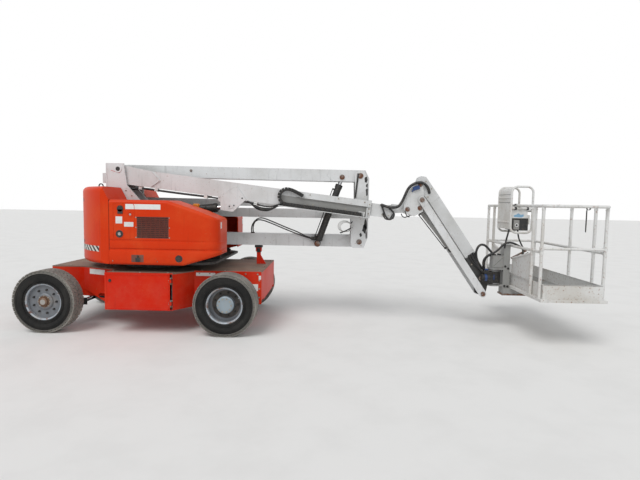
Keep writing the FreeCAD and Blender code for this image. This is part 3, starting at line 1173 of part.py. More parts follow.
def platform_rails():
    r = RAIL_RADIUS
    x0, x1 = PLATFORM_X0 + r, PLATFORM_X1 - r
    y0, y1 = PLATFORM_Y0 + r, PLATFORM_Y1 - r
    top = pipe(rail_loop(TOP_RAIL_Z), CROSS_RAIL_RADIUS, RAIL_BEND)
    middle = pipe([(x0, y0 + RAIL_BEND, MID_RAIL_Z), (x0, y1, MID_RAIL_Z), (x1, y1, MID_RAIL_Z),
                   (x1, y0 + RAIL_BEND, MID_RAIL_Z)], CROSS_RAIL_RADIUS, RAIL_BEND)
    posts = [rod_z(x, y, r, FLOOR_Z + FLOOR_THICK, TOP_RAIL_Z) for x, y in rail_spots()]
    panels = []
    for s in (-1, 1):
        near, far = BOOM_Y + s * (POST_HALF + 10), BOOM_Y + s * SIDE_POST_REACH
        outline = ((near, TOE_TOP_Z), (far, TOE_TOP_Z), (far, MID_RAIL_Z - 30), (near, MID_RAIL_Z - 150))
        corners = [V(x0 - PANEL_THICK / 2, y, z) for y, z in outline]
        panels.append(Part.Face(Part.makePolygon(corners + corners[:1])).extrude(V(PANEL_THICK, 0, 0)))
        panels.append(rod((x0, near, MID_RAIL_Z - 150), (x0, far, MID_RAIL_Z - 30), 12))
    return fuse([top, middle] + posts + panels)


def platform_floor():
    w = FLOOR_WALL
    x0, x1, y0, y1 = PLATFORM_X0, PLATFORM_X1, PLATFORM_Y0, PLATFORM_Y1
    frame = box(x0, x1, y0, y1, FLOOR_Z, FLOOR_Z + FLOOR_THICK)
    frame = frame.cut(box(x0 + w, x1 - w, y0 + w, y1 - w, FLOOR_Z - 1, FLOOR_Z + FLOOR_THICK - FLOOR_PLATE))
    beams = [box(x0 + 1, x1 - 1, BOOM_Y + y - 15, BOOM_Y + y + 15, FLOOR_Z, FLOOR_Z + FLOOR_THICK - 1)
             for y in FLOOR_BEAMS]
    # Toe boards stand on the floor, just inside of the posts.
    t = TOE_THICK
    gap = 2 * RAIL_RADIUS + 1
    z0 = FLOOR_Z + FLOOR_THICK - 1
    x0, x1, y0, y1 = x0 + gap, x1 - gap, y0 + gap, y1 - gap
    toe = box(x0, x1, y0, y1, z0, TOE_TOP_Z).cut(box(x0 + t, x1 - t, y0 + t, y1 - t, z0 - 1, TOE_TOP_Z + 1))
    return fuse([frame, toe] + beams)


def rail_spots():
    r = RAIL_RADIUS
    x0, x1 = PLATFORM_X0 + r, PLATFORM_X1 - r
    y0, y1 = PLATFORM_Y0 + r + RAIL_BEND, PLATFORM_Y1 - r - RAIL_BEND
    spots = [(x0, y0), (x1, y0), (x0, y1), (x1, y1)]
    spots += [(x1, BOOM_Y + y) for y in OUTER_POSTS]
    return spots + [(x0, BOOM_Y + s * SIDE_POST_REACH) for s in (-1, 1)]


def entry_bar():
    r = RAIL_RADIUS
    x0, x1 = PLATFORM_X0 + r, PLATFORM_X1 - r
    y = PLATFORM_Y0 + r + RAIL_BEND
    z0 = MID_RAIL_Z + r + BAR_GAP
    z1 = z0 + BAR_COLLAR_HEIGHT
    bar = Part.makeCylinder(BAR_RADIUS, x1 - x0, V(x0, y, (z0 + z1) / 2), V(1, 0, 0))
    collars = [rod_z(x, y, BAR_COLLAR, z0, z1) for x in (x0, x1)]
    bores = [rod_z(x, y, r + PIN_GAP, z0 - 1, z1 + 1) for x in (x0, x1)]
    return cut(fuse([bar] + collars), bores)


def control_guard():
    hoops = []
    for side in (-1, 1):
        y = BOOM_Y + side * HOOP_HALF
        zm = (HOOP_Z0 + HOOP_Z1) / 2
        points = [(HOOP_X1, y, zm), (HOOP_X1, y, HOOP_Z1), (HOOP_X0, y, HOOP_Z1), (HOOP_X0, y, HOOP_Z0),
                  (HOOP_X1, y, HOOP_Z0), (HOOP_X1, y, zm)]
        hoops.append(pipe(points, HOOP_RADIUS, 70))
        seat = TOP_RAIL_Z - RAIL_RADIUS - HOOP_RADIUS - 0.5
        hoops.append(Part.makeCylinder(HOOP_RADIUS, HOOP_X1 - HOOP_X0, V(HOOP_X0, y, seat), V(1, 0, 0)))
    ties = [Part.makeCylinder(HOOP_RADIUS, 2 * HOOP_HALF, V(x, BOOM_Y - HOOP_HALF, z), V(0, 1, 0))
            for x, z in ((HOOP_X0, HOOP_Z0 + 120), (HOOP_X1, TOP_RAIL_Z - 60), (HOOP_X0, HOOP_Z1 - 130))]
    return fuse(hoops + ties)


def control_console():
    y0, y1 = BOOM_Y - HOOP_HALF + 20, BOOM_Y + HOOP_HALF - 20
    x0 = HOOP_X0 + HOOP_RADIUS
    outline = [(x0, CONSOLE_Z0), (HOOP_X1 - 20, CONSOLE_Z0), (HOOP_X1 - 20, CONSOLE_Z1 - 40),
               (x0, CONSOLE_Z1)]
    return plate_xz(outline, y0, y1)


def platform():
    keep("platform_mount", platform_mount())
    keep("platform_bracket", platform_bracket())
    keep("platform_floor", platform_floor())
    keep("platform_rails", platform_rails())
    keep("entry_bar", entry_bar())
    keep("control_guard", control_guard())
    keep("control_console", control_console())


wheels()
chassis()
turntable()
riser()
boom()
jib()
platform()

os.makedirs("parts", exist_ok=True)
for name, shape in SHAPES.items():
    placed = shape.copy()
    placed.translate(V(-ORIGIN_X, -ORIGIN_Y, 0))
    placed.exportStep("parts/" + name + ".step")
    print(name, "valid" if placed.isValid() else "NOT VALID", len(placed.Solids),
          round(placed.Volume / 1e6, 2))
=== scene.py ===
import json
import math
import random

import bmesh
import bpy
from mathutils import Matrix, Vector


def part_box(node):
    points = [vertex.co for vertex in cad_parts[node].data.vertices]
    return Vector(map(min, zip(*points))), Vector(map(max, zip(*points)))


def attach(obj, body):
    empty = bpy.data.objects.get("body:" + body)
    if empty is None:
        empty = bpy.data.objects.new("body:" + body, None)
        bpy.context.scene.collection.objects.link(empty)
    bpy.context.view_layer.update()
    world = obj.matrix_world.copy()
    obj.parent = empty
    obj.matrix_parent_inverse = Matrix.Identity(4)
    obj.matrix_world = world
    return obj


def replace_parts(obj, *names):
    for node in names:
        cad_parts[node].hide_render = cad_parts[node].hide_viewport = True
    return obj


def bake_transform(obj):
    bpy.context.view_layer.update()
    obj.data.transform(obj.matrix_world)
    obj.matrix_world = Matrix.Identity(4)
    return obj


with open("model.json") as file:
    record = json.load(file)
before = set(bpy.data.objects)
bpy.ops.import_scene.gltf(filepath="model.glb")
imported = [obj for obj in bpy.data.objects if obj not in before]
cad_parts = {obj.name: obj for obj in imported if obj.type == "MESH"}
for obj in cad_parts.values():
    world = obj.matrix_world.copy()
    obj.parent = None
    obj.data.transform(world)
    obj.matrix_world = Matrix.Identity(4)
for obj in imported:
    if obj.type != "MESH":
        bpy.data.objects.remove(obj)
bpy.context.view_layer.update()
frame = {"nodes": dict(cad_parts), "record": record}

# Articulating boom lift, dressed around its CAD frame.
# Places are written in metres from the swing axis on the ground: X towards the platform, Y towards the far side.

bearing_low, bearing_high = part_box("swing_bearing")
SWING = Vector(((bearing_low.x + bearing_high.x) / 2, (bearing_low.y + bearing_high.y) / 2, 0.0))
SIDES = ((-1, "right"), (1, "left"))
ALONG_X, ALONG_Y, UP, NEAR = (1, 0, 0), (0, 1, 0), (0, 0, 1), (0, -1, 0)
BOOM_PIVOT = (-0.414, 1.882)
BOOM_TILT = math.radians(-6.7)
JIB_TOP = (3.250, 1.757)
JIB_TILT = math.radians(-55.5)
JIB_Y = -0.165

random.seed(7)


# Places

def at(x, y, z):
    return Vector((SWING.x + x, SWING.y + y, z))


def local_box(node):
    low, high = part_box(node)
    return low - SWING, high - SWING


def laid(pivot, tilt, u, n, y):
    """Place along a tilted arm: u along it, n square to it, from its pivot."""
    return at(pivot[0] + u * math.cos(tilt) - n * math.sin(tilt), y,
              pivot[1] + u * math.sin(tilt) + n * math.cos(tilt))


def on_boom(u, n, y):
    return laid(BOOM_PIVOT, BOOM_TILT, u, n, y)


def on_jib(s, n, y):
    return laid(JIB_TOP, JIB_TILT, s, n, y)


def turn_y(tilt):
    return Matrix.Rotation(-tilt, 3, "Y")


def full_turn(count):
    """Angles that share a full turn evenly."""
    return [2 * math.pi * n / count for n in range(count)]


# Materials

RUST = (0.16, 0.055, 0.022)
DUST = (0.36, 0.29, 0.21)
RED, RED_FADED = (0.58, 0.015, 0.002), (0.62, 0.042, 0.009)
COVER_RED, COVER_RED_FADED = (0.60, 0.036, 0.004), (0.64, 0.072, 0.014)
RED_SHINE = 0.12
WHITE, WHITE_DIM = (0.66, 0.665, 0.665), (0.50, 0.50, 0.485)
SIDEWALL, SIDEWALL_DUSTY = (0.012, 0.012, 0.012), (0.030, 0.029, 0.027)
TREAD, TREAD_DUSTY = (0.185, 0.176, 0.160), (0.31, 0.295, 0.265)
SHOULDER_START = 0.319
JIB_DARK_END_START = 1.064


def shader_node(tree, kind, inputs=None, **settings):
    """New shader node. Its inputs, by name or number, are plain values or the outputs of other nodes."""
    node = tree.nodes.new("ShaderNode" + kind)
    for key, value in settings.items():
        setattr(node, key, value)
    for key, value in (inputs or {}).items():
        feed(tree, node.inputs[key], value)
    return node


def feed(tree, socket, value):
    if isinstance(value, bpy.types.NodeSocket):
        tree.links.new(value, socket)
    else:
        socket.default_value = value


class Paint:
    """One procedural material, built step by step from noise masks over object coordinates."""

    def __init__(self, name, color, roughness=0.5, metallic=0.0, shine=0.5):
        self.material = bpy.data.materials.new(name)
        self.material.use_nodes = True
        self.tree = self.material.node_tree
        self.shader = self.tree.nodes["Principled BSDF"]
        self.shader.inputs["Metallic"].default_value = metallic
        self.shader.inputs["Specular IOR Level"].default_value = shine
        self.place = shader_node(self.tree, "TexCoord").outputs["Object"]
        self.color = shader_node(self.tree, "RGB").outputs[0]
        self.color.default_value = (*color, 1.0)
        self.rough = roughness
        self.heights = []

    def noise(self, scale, detail=4.0, roughness=0.6, stretch=(1.0, 1.0, 1.0)):
        spread = shader_node(self.tree, "Mapping", {"Vector": self.place, "Scale": stretch}).outputs[0]
        return shader_node(self.tree, "TexNoise", {"Vector": spread, "Scale": scale, "Detail": detail,
                                                   "Roughness": roughness}).outputs["Fac"]

    def ramp(self, value, low, high, invert=False):
        return shader_node(self.tree, "MapRange", {"Value": value, "From Min": low, "From Max": high,
                                                   "To Min": 1.0 if invert else 0.0,
                                                   "To Max": 0.0 if invert else 1.0},
                           interpolation_type="SMOOTHSTEP").outputs[0]

    def math(self, operation, first, second=0.0):
        return shader_node(self.tree, "Math", {0: first, 1: second}, operation=operation).outputs[0]

    def times(self, first, second):
        return self.math("MULTIPLY", first, second)

    def axis(self, name):
        return shader_node(self.tree, "SeparateXYZ", {0: self.place}).outputs[name]

    def facing_up(self):
        normal = shader_node(self.tree, "NewGeometry").outputs["Normal"]
        return shader_node(self.tree, "SeparateXYZ", {0: normal}).outputs["Z"]

    def layer(self, mask, color, strength=1.0, roughness=None):
        if strength != 1.0:
            mask = self.times(mask, strength)
        self.color = shader_node(self.tree, "Mix", {0: mask, 6: self.color, 7: (*color, 1.0)},
                                 data_type="RGBA").outputs[2]
        if roughness is not None:
            self.rough = shader_node(self.tree, "Mix", {0: mask, 2: self.rough, 3: roughness}).outputs[0]

    def stain(self, noise, low, high, color, strength=1.0, roughness=None):
        """Layer where a noise, given by its scale, detail, roughness and stretch, is high."""
        self.layer(self.ramp(self.noise(*noise), low, high), color, strength, roughness)

    def bump(self, height, distance, strength=1.0):
        self.heights.append({"Height": height, "Distance": distance, "Strength": strength})

    def done(self):
        feed(self.tree, self.shader.inputs["Base Color"], self.color)
        feed(self.tree, self.shader.inputs["Roughness"], self.rough)
        normal = {}
        for height in self.heights:
            normal = {"Normal": shader_node(self.tree, "Bump", {**height, **normal}).outputs[0]}
        for key, value in normal.items():
            feed(self.tree, self.shader.inputs[key], value)
        return self.material


def worn_paint(name, color, faded, roughness, chips, dust, streaks, shine=0.5):
    paint = Paint(name, color, roughness, 0.0, shine)
    paint.stain((1.7, 5.0), 0.40, 0.68, faded, 0.75, roughness + 0.14)
    paint.stain((9.0, 6.0, 0.7), 0.55, 0.75, faded, 0.35)
    if streaks:
        paint.stain((7.0, 5.0, 0.65, (4.0, 4.0, 0.35)), 0.56, 0.74, tuple(c * 0.45 for c in color), streaks)
    if dust:
        low = paint.ramp(paint.axis("Z"), 0.35, 1.35, True)
        paint.layer(paint.times(low, paint.ramp(paint.noise(5.0, 6.0, 0.7), 0.32, 0.72)), DUST, dust, 0.85)
        top = paint.ramp(paint.facing_up(), 0.6, 0.95)
        paint.layer(paint.times(top, paint.ramp(paint.noise(6.0, 5.0), 0.35, 0.7)), DUST, dust, 0.9)
    if chips:
        more = chips * 0.05
        spots = paint.ramp(paint.noise(38.0, 7.0, 0.75), 0.665 - more, 0.70 - more)
        paint.stain((38.0, 7.0, 0.75), 0.60 - more, 0.72 - more, (0.42, 0.22, 0.11), 0.35)
        paint.layer(spots, RUST, 0.9, 0.9)
        paint.bump(spots, 0.0006, 0.5)
    paint.bump(paint.noise(240.0, 3.0), 0.0004, 0.25)
    return paint.done()


def plain(name, color, roughness, metallic=0.0, grain=120.0, variation=0.55, bump=0.0005):
    paint = Paint(name, color, roughness, metallic)
    paint.stain((grain * 0.08, 5.0), 0.38, 0.7, tuple(c * variation for c in color), 0.7, roughness + 0.12)
    paint.stain((grain * 0.3, 5.0, 0.7), 0.5, 0.72, DUST, 0.22, 0.85)
    paint.bump(paint.noise(grain * 3.0, 3.0), bump, 0.4)
    return paint.done()


def rusty_metal(name, color, rust, roughness=0.55, metallic=0.4):
    paint = Paint(name, color, roughness, metallic)
    paint.stain((14.0, 7.0, 0.72), 0.52 - rust * 0.14, 0.66 - rust * 0.1, RUST, 0.9, 0.92)
    paint.stain((50.0, 6.0, 0.7), 0.5, 0.72, (0.24, 0.11, 0.05), 0.6, 0.9)
    paint.stain((9.0, 5.0), 0.45, 0.75, DUST, 0.35, 0.9)
    paint.bump(paint.noise(160.0, 5.0, 0.7), 0.0012, 0.6)
    return paint.done()


def round_band(paint, node, inner, outer):
    """Mask that is 1 between two radii about the axle of a wheel's node."""
    low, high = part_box(node)
    center = (low + high) / 2
    x = paint.math("SUBTRACT", paint.axis("X"), center.x)
    z = paint.math("SUBTRACT", paint.axis("Z"), center.z)
    reach = paint.math("SQRT", paint.math("ADD", paint.times(x, x), paint.times(z, z)))
    return paint.times(paint.ramp(reach, inner - 0.003, inner + 0.003),
                       paint.ramp(reach, outer - 0.003, outer + 0.003, True))


def tyre_rubber(name, color, dusty, dust, node=None):
    """Rubber. On a sidewall, which names its node, the worn shoulder is as pale as the tread."""
    paint = Paint(name, color, 0.84, 0.0, 0.25)
    paint.stain((7.0, 4.0, 0.55), 0.34, 0.74, dusty, 0.8, 0.92)
    paint.stain((70.0, 5.0, 0.7), 0.5, 0.75, DUST, dust)
    if node:
        paint.layer(round_band(paint, node, SHOULDER_START, 1.0), TREAD, 0.95)
    paint.bump(paint.noise(320.0, 4.0, 0.7), 0.0010, 0.6)
    return paint.done()


def wheel_paint(name, node, bands):
    # The dish's base is the rim's own grey, darkened further as painted shade of the wheel's hollow; the lip's
    # rim_paint stays lighter.
    paint = Paint(name, (0.17, 0.18, 0.195), 0.5, 0.25)
    for inner, outer, color in bands:
        paint.layer(round_band(paint, node, inner, outer), color)
    paint.stain((16.0, 7.0, 0.72), 0.58, 0.70, RUST, 0.30, 0.9)
    paint.stain((7.0, 5.0), 0.45, 0.75, DUST, 0.22, 0.9)
    paint.bump(paint.noise(160.0, 5.0, 0.7), 0.0008, 0.5)
    return paint.done()


def jib_paint():
    """White beam whose open lower end is near black."""
    paint = Paint("jib_paint", (0.60, 0.605, 0.605), 0.42)
    paint.stain((1.9, 5.0), 0.40, 0.68, (0.45, 0.45, 0.43), 0.7, 0.55)
    paint.stain((8.0, 6.0, 0.65), 0.56, 0.75, (0.30, 0.28, 0.25), 0.4)
    across = paint.math("SUBTRACT", paint.axis("X"), SWING.x + JIB_TOP[0])
    down = paint.math("SUBTRACT", JIB_TOP[1], paint.axis("Z"))
    along = paint.math("SUBTRACT", paint.times(across, math.cos(JIB_TILT)), paint.times(down, math.sin(JIB_TILT)))
    # The lower end, past this start along the beam, is near black.
    paint.layer(paint.ramp(along, JIB_DARK_END_START, JIB_DARK_END_START + 0.006), (0.020, 0.019, 0.018), 0.96, 0.6)
    paint.stain((38.0, 7.0, 0.75), 0.64, 0.68, RUST, 0.8, 0.9)
    paint.bump(paint.noise(240.0, 3.0), 0.0004, 0.25)
    return paint.done()


def amber_lens():
    paint = Paint("amber_lens", (0.85, 0.30, 0.02), 0.18)
    paint.shader.inputs["Transmission Weight"].default_value = 0.35
    paint.shader.inputs["IOR"].default_value = 1.46
    paint.stain((30.0, 4.0), 0.5, 0.75, (0.70, 0.22, 0.02), 0.5)
    return paint.done()


def hazard_stripes():
    paint = Paint("hazard_stripes", (0.62, 0.60, 0.55), 0.5)
    slope = paint.math("ADD", paint.times(paint.axis("X"), 9.0), paint.times(paint.axis("Z"), 14.0))
    depth = paint.math("ABSOLUTE", paint.math("SUBTRACT", paint.axis("Y"), SWING.y))
    band = paint.math("FRACT", paint.math("ADD", slope, paint.times(depth, 9.0)))
    paint.layer(paint.ramp(band, 0.49, 0.51), (0.012, 0.012, 0.012))
    paint.stain((20.0, 6.0, 0.7), 0.52, 0.7, DUST, 0.5, 0.85)
    return paint.done()


# Rows of name, colour, faded colour, roughness, chips, dust, streaks and shine
WORN_PAINTS = (
    ("red_paint", RED, RED_FADED, 0.38, 0.2, 0.08, 0.25, RED_SHINE),
    ("cover_paint", COVER_RED, COVER_RED_FADED, 0.36, 0.1, 0.03, 0.22, RED_SHINE),
    ("white_paint", WHITE, WHITE_DIM, 0.42, 0.5, 0.0, 0.45),
    ("platform_paint", (0.66, 0.66, 0.645), (0.49, 0.465, 0.42), 0.5, 1.25, 0.0, 0.5),
    ("grey_paint", (0.30, 0.30, 0.29), (0.22, 0.215, 0.20), 0.5, 0.6, 0.0, 0.3),
    ("deck_paint", (0.17, 0.085, 0.06), (0.15, 0.115, 0.095), 0.75, 0.9, 0.25, 0.2),
    ("grille_steel", (0.14, 0.028, 0.016), (0.10, 0.06, 0.045), 0.6, 0.3, 0.3, 0.0),
)
# Rows of name, colour, roughness, metallic, grain, variation and bump
PLAIN_PAINTS = (
    ("dark_steel", (0.030, 0.029, 0.028), 0.5, 0.25),
    ("black_plastic", (0.016, 0.016, 0.016), 0.55),
    ("hose_black", (0.014, 0.014, 0.015), 0.42, 0.0, 60.0),
    ("chrome_rod", (0.62, 0.63, 0.65), 0.14, 1.0, 40.0, 0.8, 0.0001),
    ("label_white", (0.72, 0.72, 0.70), 0.4, 0.0, 60.0, 0.8, 0.0001),
    ("signal_red", (0.55, 0.012, 0.010), 0.35, 0.0, 60.0, 0.85, 0.0001),
    ("signal_blue", (0.012, 0.045, 0.16), 0.4, 0.0, 60.0, 0.85, 0.0001),
    ("signal_green", (0.02, 0.26, 0.06), 0.4, 0.0, 60.0, 0.85, 0.0001),
    ("pale_blue", (0.22, 0.42, 0.60), 0.5, 0.0, 60.0, 0.8, 0.0001),
)
# Rows of name, colour, rust, roughness and metallic
RUSTY_METALS = (
    ("rim_paint", (0.33, 0.37, 0.41), 0.15, 0.5, 0.35),
    ("rusty_steel", (0.24, 0.23, 0.22), 0.9, 0.65, 0.35),
    ("bare_steel", (0.42, 0.43, 0.44), 0.1, 0.36, 0.85),
    ("bolt_zinc", (0.40, 0.38, 0.33), 0.25, 0.42, 0.8),
)

materials = {
    "tread_rubber": tyre_rubber("tread_rubber", TREAD, TREAD_DUSTY, 0.35),
    "steer_tyre": tyre_rubber("steer_tyre", SIDEWALL, SIDEWALL_DUSTY, 0.06, "steer_tyre_right"),
    "drive_tyre": tyre_rubber("drive_tyre", SIDEWALL, SIDEWALL_DUSTY, 0.06, "drive_tyre_right"),
    "steer_rim": wheel_paint("steer_rim", "steer_tyre_right",
                             ((0.0, 0.066, (0.13, 0.065, 0.035)), (0.0, 0.030, (0.34, 0.33, 0.31)))),
    "drive_rim": wheel_paint("drive_rim", "drive_tyre_right",
                             ((0.100, 0.160, (0.050, 0.044, 0.040)), (0.0, 0.098, (0.30, 0.36, 0.40)))),
    "jib_paint": jib_paint(),
    "amber_lens": amber_lens(),
    "hazard_stripes": hazard_stripes(),
}
for maker, rows in ((worn_paint, WORN_PAINTS), (plain, PLAIN_PAINTS), (rusty_metal, RUSTY_METALS)):
    materials.update((row[0], maker(*row)) for row in rows)

# The material of each node that doesn't wear its own slot's
NODE_MATERIALS = {
    "platform_rails": "platform_paint", "entry_bar": "platform_paint", "control_guard": "platform_paint",
    "platform_floor": "platform_paint", "control_console": "platform_paint", "platform_bracket": "grey_paint",
    "jib_knuckle": "white_paint", "jib_beam": "jib_paint", "jib_cylinder_barrel": "grey_paint",
    "battery_boxes": "red_paint", "counterweight": "cover_paint",
}
for _, word in SIDES:
    NODE_MATERIALS["cover_" + word] = "cover_paint"
    for kind in ("steer_rim", "drive_rim", "steer_tyre", "drive_tyre"):
        NODE_MATERIALS[kind + "_" + word] = kind


def paint_frame():
    slots = {part["node"]: part["material_slot"] for part in frame["record"]["subparts"]}
    for name, node in frame["nodes"].items():
        node.data.materials.clear()
        node.data.materials.append(materials[NODE_MATERIALS.get(name, slots[name])])


# Pieces: one mesh each, gathered from simple solids

SHARP = math.radians(35)


class Piece:
    """Gathers solids in one mesh that rides on one CAD body."""

    def __init__(self, name, body, material):
        self.name = name
        self.body = body
        self.material = material
        self.mesh = bmesh.new()

    def box(self, center, size, turn=None):
        matrix = Matrix.Translation(center)
        if turn is not None:
            matrix = matrix @ turn.to_4x4()
        bmesh.ops.create_cube(self.mesh, size=1.0, matrix=matrix @ Matrix.Diagonal((*size, 1.0)))
        return self

    def span(self, x0, x1, y0, y1, z0, z1):
        return self.box(at((x0 + x1) / 2, (y0 + y1) / 2, (z0 + z1) / 2), (abs(x1 - x0), abs(y1 - y0), abs(z1 - z0)))

    def boom_span(self, u0, u1, n0, n1, y0, y1):
        """Box that lies along the boom."""
        return self.box(on_boom((u0 + u1) / 2, (n0 + n1) / 2, (y0 + y1) / 2),
                        (abs(u1 - u0), abs(y1 - y0), abs(n1 - n0)), turn_y(BOOM_TILT))

    def rod(self, start, end, radius, sides=20, end_radius=None):
        way = end - start
        matrix = Matrix.Translation((start + end) / 2) @ way.to_track_quat("Z", "Y").to_matrix().to_4x4()
        bmesh.ops.create_cone(self.mesh, cap_ends=True, segments=sides, radius1=radius,
                              radius2=radius if end_radius is None else end_radius, depth=way.length, matrix=matrix)
        return self

    def disc(self, center, axis, radius, thick, sides=24):
        half = Vector(axis).normalized() * thick / 2
        return self.rod(center - half, center + half, radius, sides)

    def nut(self, center, axis, radius, thick):
        return self.disc(center, axis, radius, thick, 6)

    def bolt(self, center, axis, size):
        way = Vector(axis).normalized()
        self.disc(center + way * size * 0.08, way, size * 1.25, size * 0.16, 16)
        return self.nut(center + way * size * 0.45, way, size, size * 0.62)

    def pin_end(self, x, y, z, side, radius):
        """A pin's end with its washer and a keeper held by two screws."""
        self.disc(at(x, y + side * 0.001, z), ALONG_Y, radius * 1.45, 0.004, 32)
        self.disc(at(x, y + side * 0.0035, z), ALONG_Y, radius * 0.98, 0.004, 28)
        for dx in (-0.55, 0.55):
            self.nut(at(x + radius * dx * 1.1, y + side * 0.0055, z), ALONG_Y, radius * 0.24, 0.006)
        return self

    def ball(self, center, radius, sides=16):
        bmesh.ops.create_uvsphere(self.mesh, u_segments=sides, v_segments=sides // 2, radius=radius,
                                  matrix=Matrix.Translation(center))
        return self

    def strip(self, here, there, closed=True):
        """Faces between two rows of corners."""
        for k in range(len(here) if closed else len(here) - 1):
            m = (k + 1) % len(here)
            self.mesh.faces.new((here[k], there[k], there[m], here[m]))
        return self

    def caps(self, first, last):
        self.mesh.faces.new(first)
        self.mesh.faces.new(list(reversed(last)))

    def plate(self, outline, way):
        """Prism: outline points, pushed along way."""
        low = [self.mesh.verts.new(p) for p in outline]
        high = [self.mesh.verts.new(p + way) for p in outline]
        self.caps(low, high)
        for n in range(len(outline)):
            m = (n + 1) % len(outline)
            self.mesh.faces.new((low[n], high[n], high[m], low[m]))
        return self

    def sheet(self, y, outline, depth):
        """Plate whose outline, (x, z) points, lies at one y and is pushed along Y."""
        return self.plate([at(x, y, z) for x, z in outline], Vector((0, depth, 0)))

    def lathe(self, profile, center, axis, sides=48, closed=False):
        """Profile points are (radius, distance along axis)."""
        way = Vector(axis).normalized()
        turn = way.to_track_quat("Z", "Y").to_matrix()
        rings = []
        for angle in full_turn(sides):
            spoke = turn @ Vector((math.cos(angle), math.sin(angle), 0.0))
            rings.append([self.mesh.verts.new(center + spoke * r + way * h) for r, h in profile])
        for n in range(sides):
            self.strip(rings[n], rings[(n + 1) % sides], closed)
        return self

    def tube(self, points, radius, order=3, sides=4):
        """Round tube along one smooth line through the route's points."""
        curve = bpy.data.curves.new("route", "CURVE")
        curve.dimensions = "3D"
        curve.bevel_depth = radius
        curve.bevel_resolution = sides
        curve.use_fill_caps = True
        curve.resolution_u = 10
        line = curve.splines.new("NURBS")
        line.points.add(len(points) - 1)
        for spot, place in zip(line.points, points):
            spot.co = (*place, 1.0)
        line.order_u = order
        line.use_endpoint_u = True
        holder = bpy.data.objects.new("route", curve)
        bpy.context.scene.collection.objects.link(holder)
        bpy.context.view_layer.update()
        made = bpy.data.meshes.new_from_object(holder.evaluated_get(bpy.context.evaluated_depsgraph_get()))
        self.mesh.from_mesh(made)
        bpy.data.objects.remove(holder)
        bpy.data.meshes.remove(made)
        return self

    def done(self, bevel=0.0, smooth=True, segments=2):
        bmesh.ops.recalc_face_normals(self.mesh, faces=self.mesh.faces)
        data = bpy.data.meshes.new(self.name)
        self.mesh.to_mesh(data)
        self.mesh.free()
        piece = bpy.data.objects.new(self.name, data)
        bpy.context.scene.collection.objects.link(piece)
        if smooth:
            data.shade_smooth()
            data.set_sharp_from_angle(angle=SHARP)
        if bevel:
            modifier = piece.modifiers.new("edges", "BEVEL")
            modifier.width = bevel
            modifier.segments = segments
            modifier.limit_method = "ANGLE"
            modifier.angle_limit = SHARP
            modifier.harden_normals = True
        data.materials.append(materials[self.material])
        if self.body:
            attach(piece, self.body)
        return piece


# Shared makers of whole pieces

def blocks(name, body, material, bevel, *spans, segments=2):
    """Upright boxes, each one x0, x1, y0, y1, z0, z1."""
    piece = Piece(name, body, material)
    for span in spans:
        piece.span(*span)
    return piece.done(bevel, segments=segments)


def boom_blocks(name, body, material, bevel, *spans):
    """Boxes along the boom, each one u0, u1, n0, n1, y0, y1."""
    piece = Piece(name, body, material)
    for span in spans:
        piece.boom_span(*span)
    return piece.done(bevel)


def sheets(name, body, material, bevel, *rows, segments=2):
    """Flat plates that face the side, each one y, its outline and its depth."""
    piece = Piece(name, body, material)
    for row in rows:
        piece.sheet(*row)
    return piece.done(bevel, segments=segments)


def pin_ends(name, body, rows, bevel=0.0, segments=2):
    piece = Piece(name, body, "rusty_steel")
    for row in rows:
        piece.pin_end(*row)
    return piece.done(bevel, segments=segments)


def bolts(name, body, spots, axis, size, material="bolt_zinc"):
    piece = Piece(name, body, material)
    for spot in spots:
        piece.bolt(spot, axis, size)
    return piece.done()


def tubes(name, body, material, radius, routes, order=3):
    """Round tubes of one radius, whose routes are rows of places."""
    piece = Piece(name, body, material)
    for route in routes:
        piece.tube([at(*p) for p in route], radius, order)
    return piece.done()


def hose(name, body, route, radius):
    return tubes(name, body, "hose_black", radius, [route])


def crossing_hose(name, route, radius):
    """A hose that runs between two jointed bodies, riding on neither."""
    piece = hose(name, None, route, radius)
    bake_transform(piece)
    return piece


def patch(name, body, material, spots, y, out, thick=0.0008):
    """Thin flat patches (x0, x1, z0, z1) lying on a face that looks along Y."""
    spans = [(x0, x1, y - out * 0.0004, y + out * thick, z0, z1) for x0, x1, z0, z1 in spots]
    return blocks(name, body, material, 0.0002, *spans, segments=1)


# Wheels

TREAD_PITCHES = 44
TREAD_DEPTH = 0.008
BLOCK_FILL = 0.86
BLOCK_LEAN = 0.45
TYRE_INNER = 0.199
SIDE_RINGS = (0.232, 0.290, 0.318)
# Rows of tread blocks: place across the tyre, width, shift round it in pitches, and lean
BLOCK_ROWS = ((-0.082, 0.040, 0.0, 1), (-0.031, 0.046, 0.5, -1), (0.031, 0.046, 0.0, 1), (0.082, 0.040, 0.5, -1))
WHEEL_NUTS, NUT_CIRCLE = 9, 0.132


def tyre_casing(node, body, material, center, outer, half):
    base = outer - TREAD_DEPTH
    profile = [(TYRE_INNER, -half + 0.030), (TYRE_INNER + 0.006, -half + 0.014), (TYRE_INNER + 0.022, -half + 0.010),
               (TYRE_INNER + 0.030, -half + 0.014), (TYRE_INNER + 0.055, -half + 0.004), (TYRE_INNER + 0.085, -half),
               (TYRE_INNER + 0.092, -half + 0.004), (TYRE_INNER + 0.110, -half + 0.006), (outer - 0.030, -half + 0.018),
               (base - 0.004, -half + 0.032), (base, -half + 0.048), (base, 0.0)]
    profile += [(r, -h) for r, h in reversed(profile[:-1])]
    casing = Piece("tyre_casing_" + body, body, material)
    casing.lathe(profile, center, ALONG_Y, 96)
    for sign in (-1, 1):
        for radius in SIDE_RINGS:
            casing.lathe([(radius, half - 0.010), (radius + 0.002, half - 0.0015), (radius + 0.005, half - 0.0015),
                          (radius + 0.007, half - 0.010)], center, (0, sign, 0), 96)
    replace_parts(casing.done(), node)


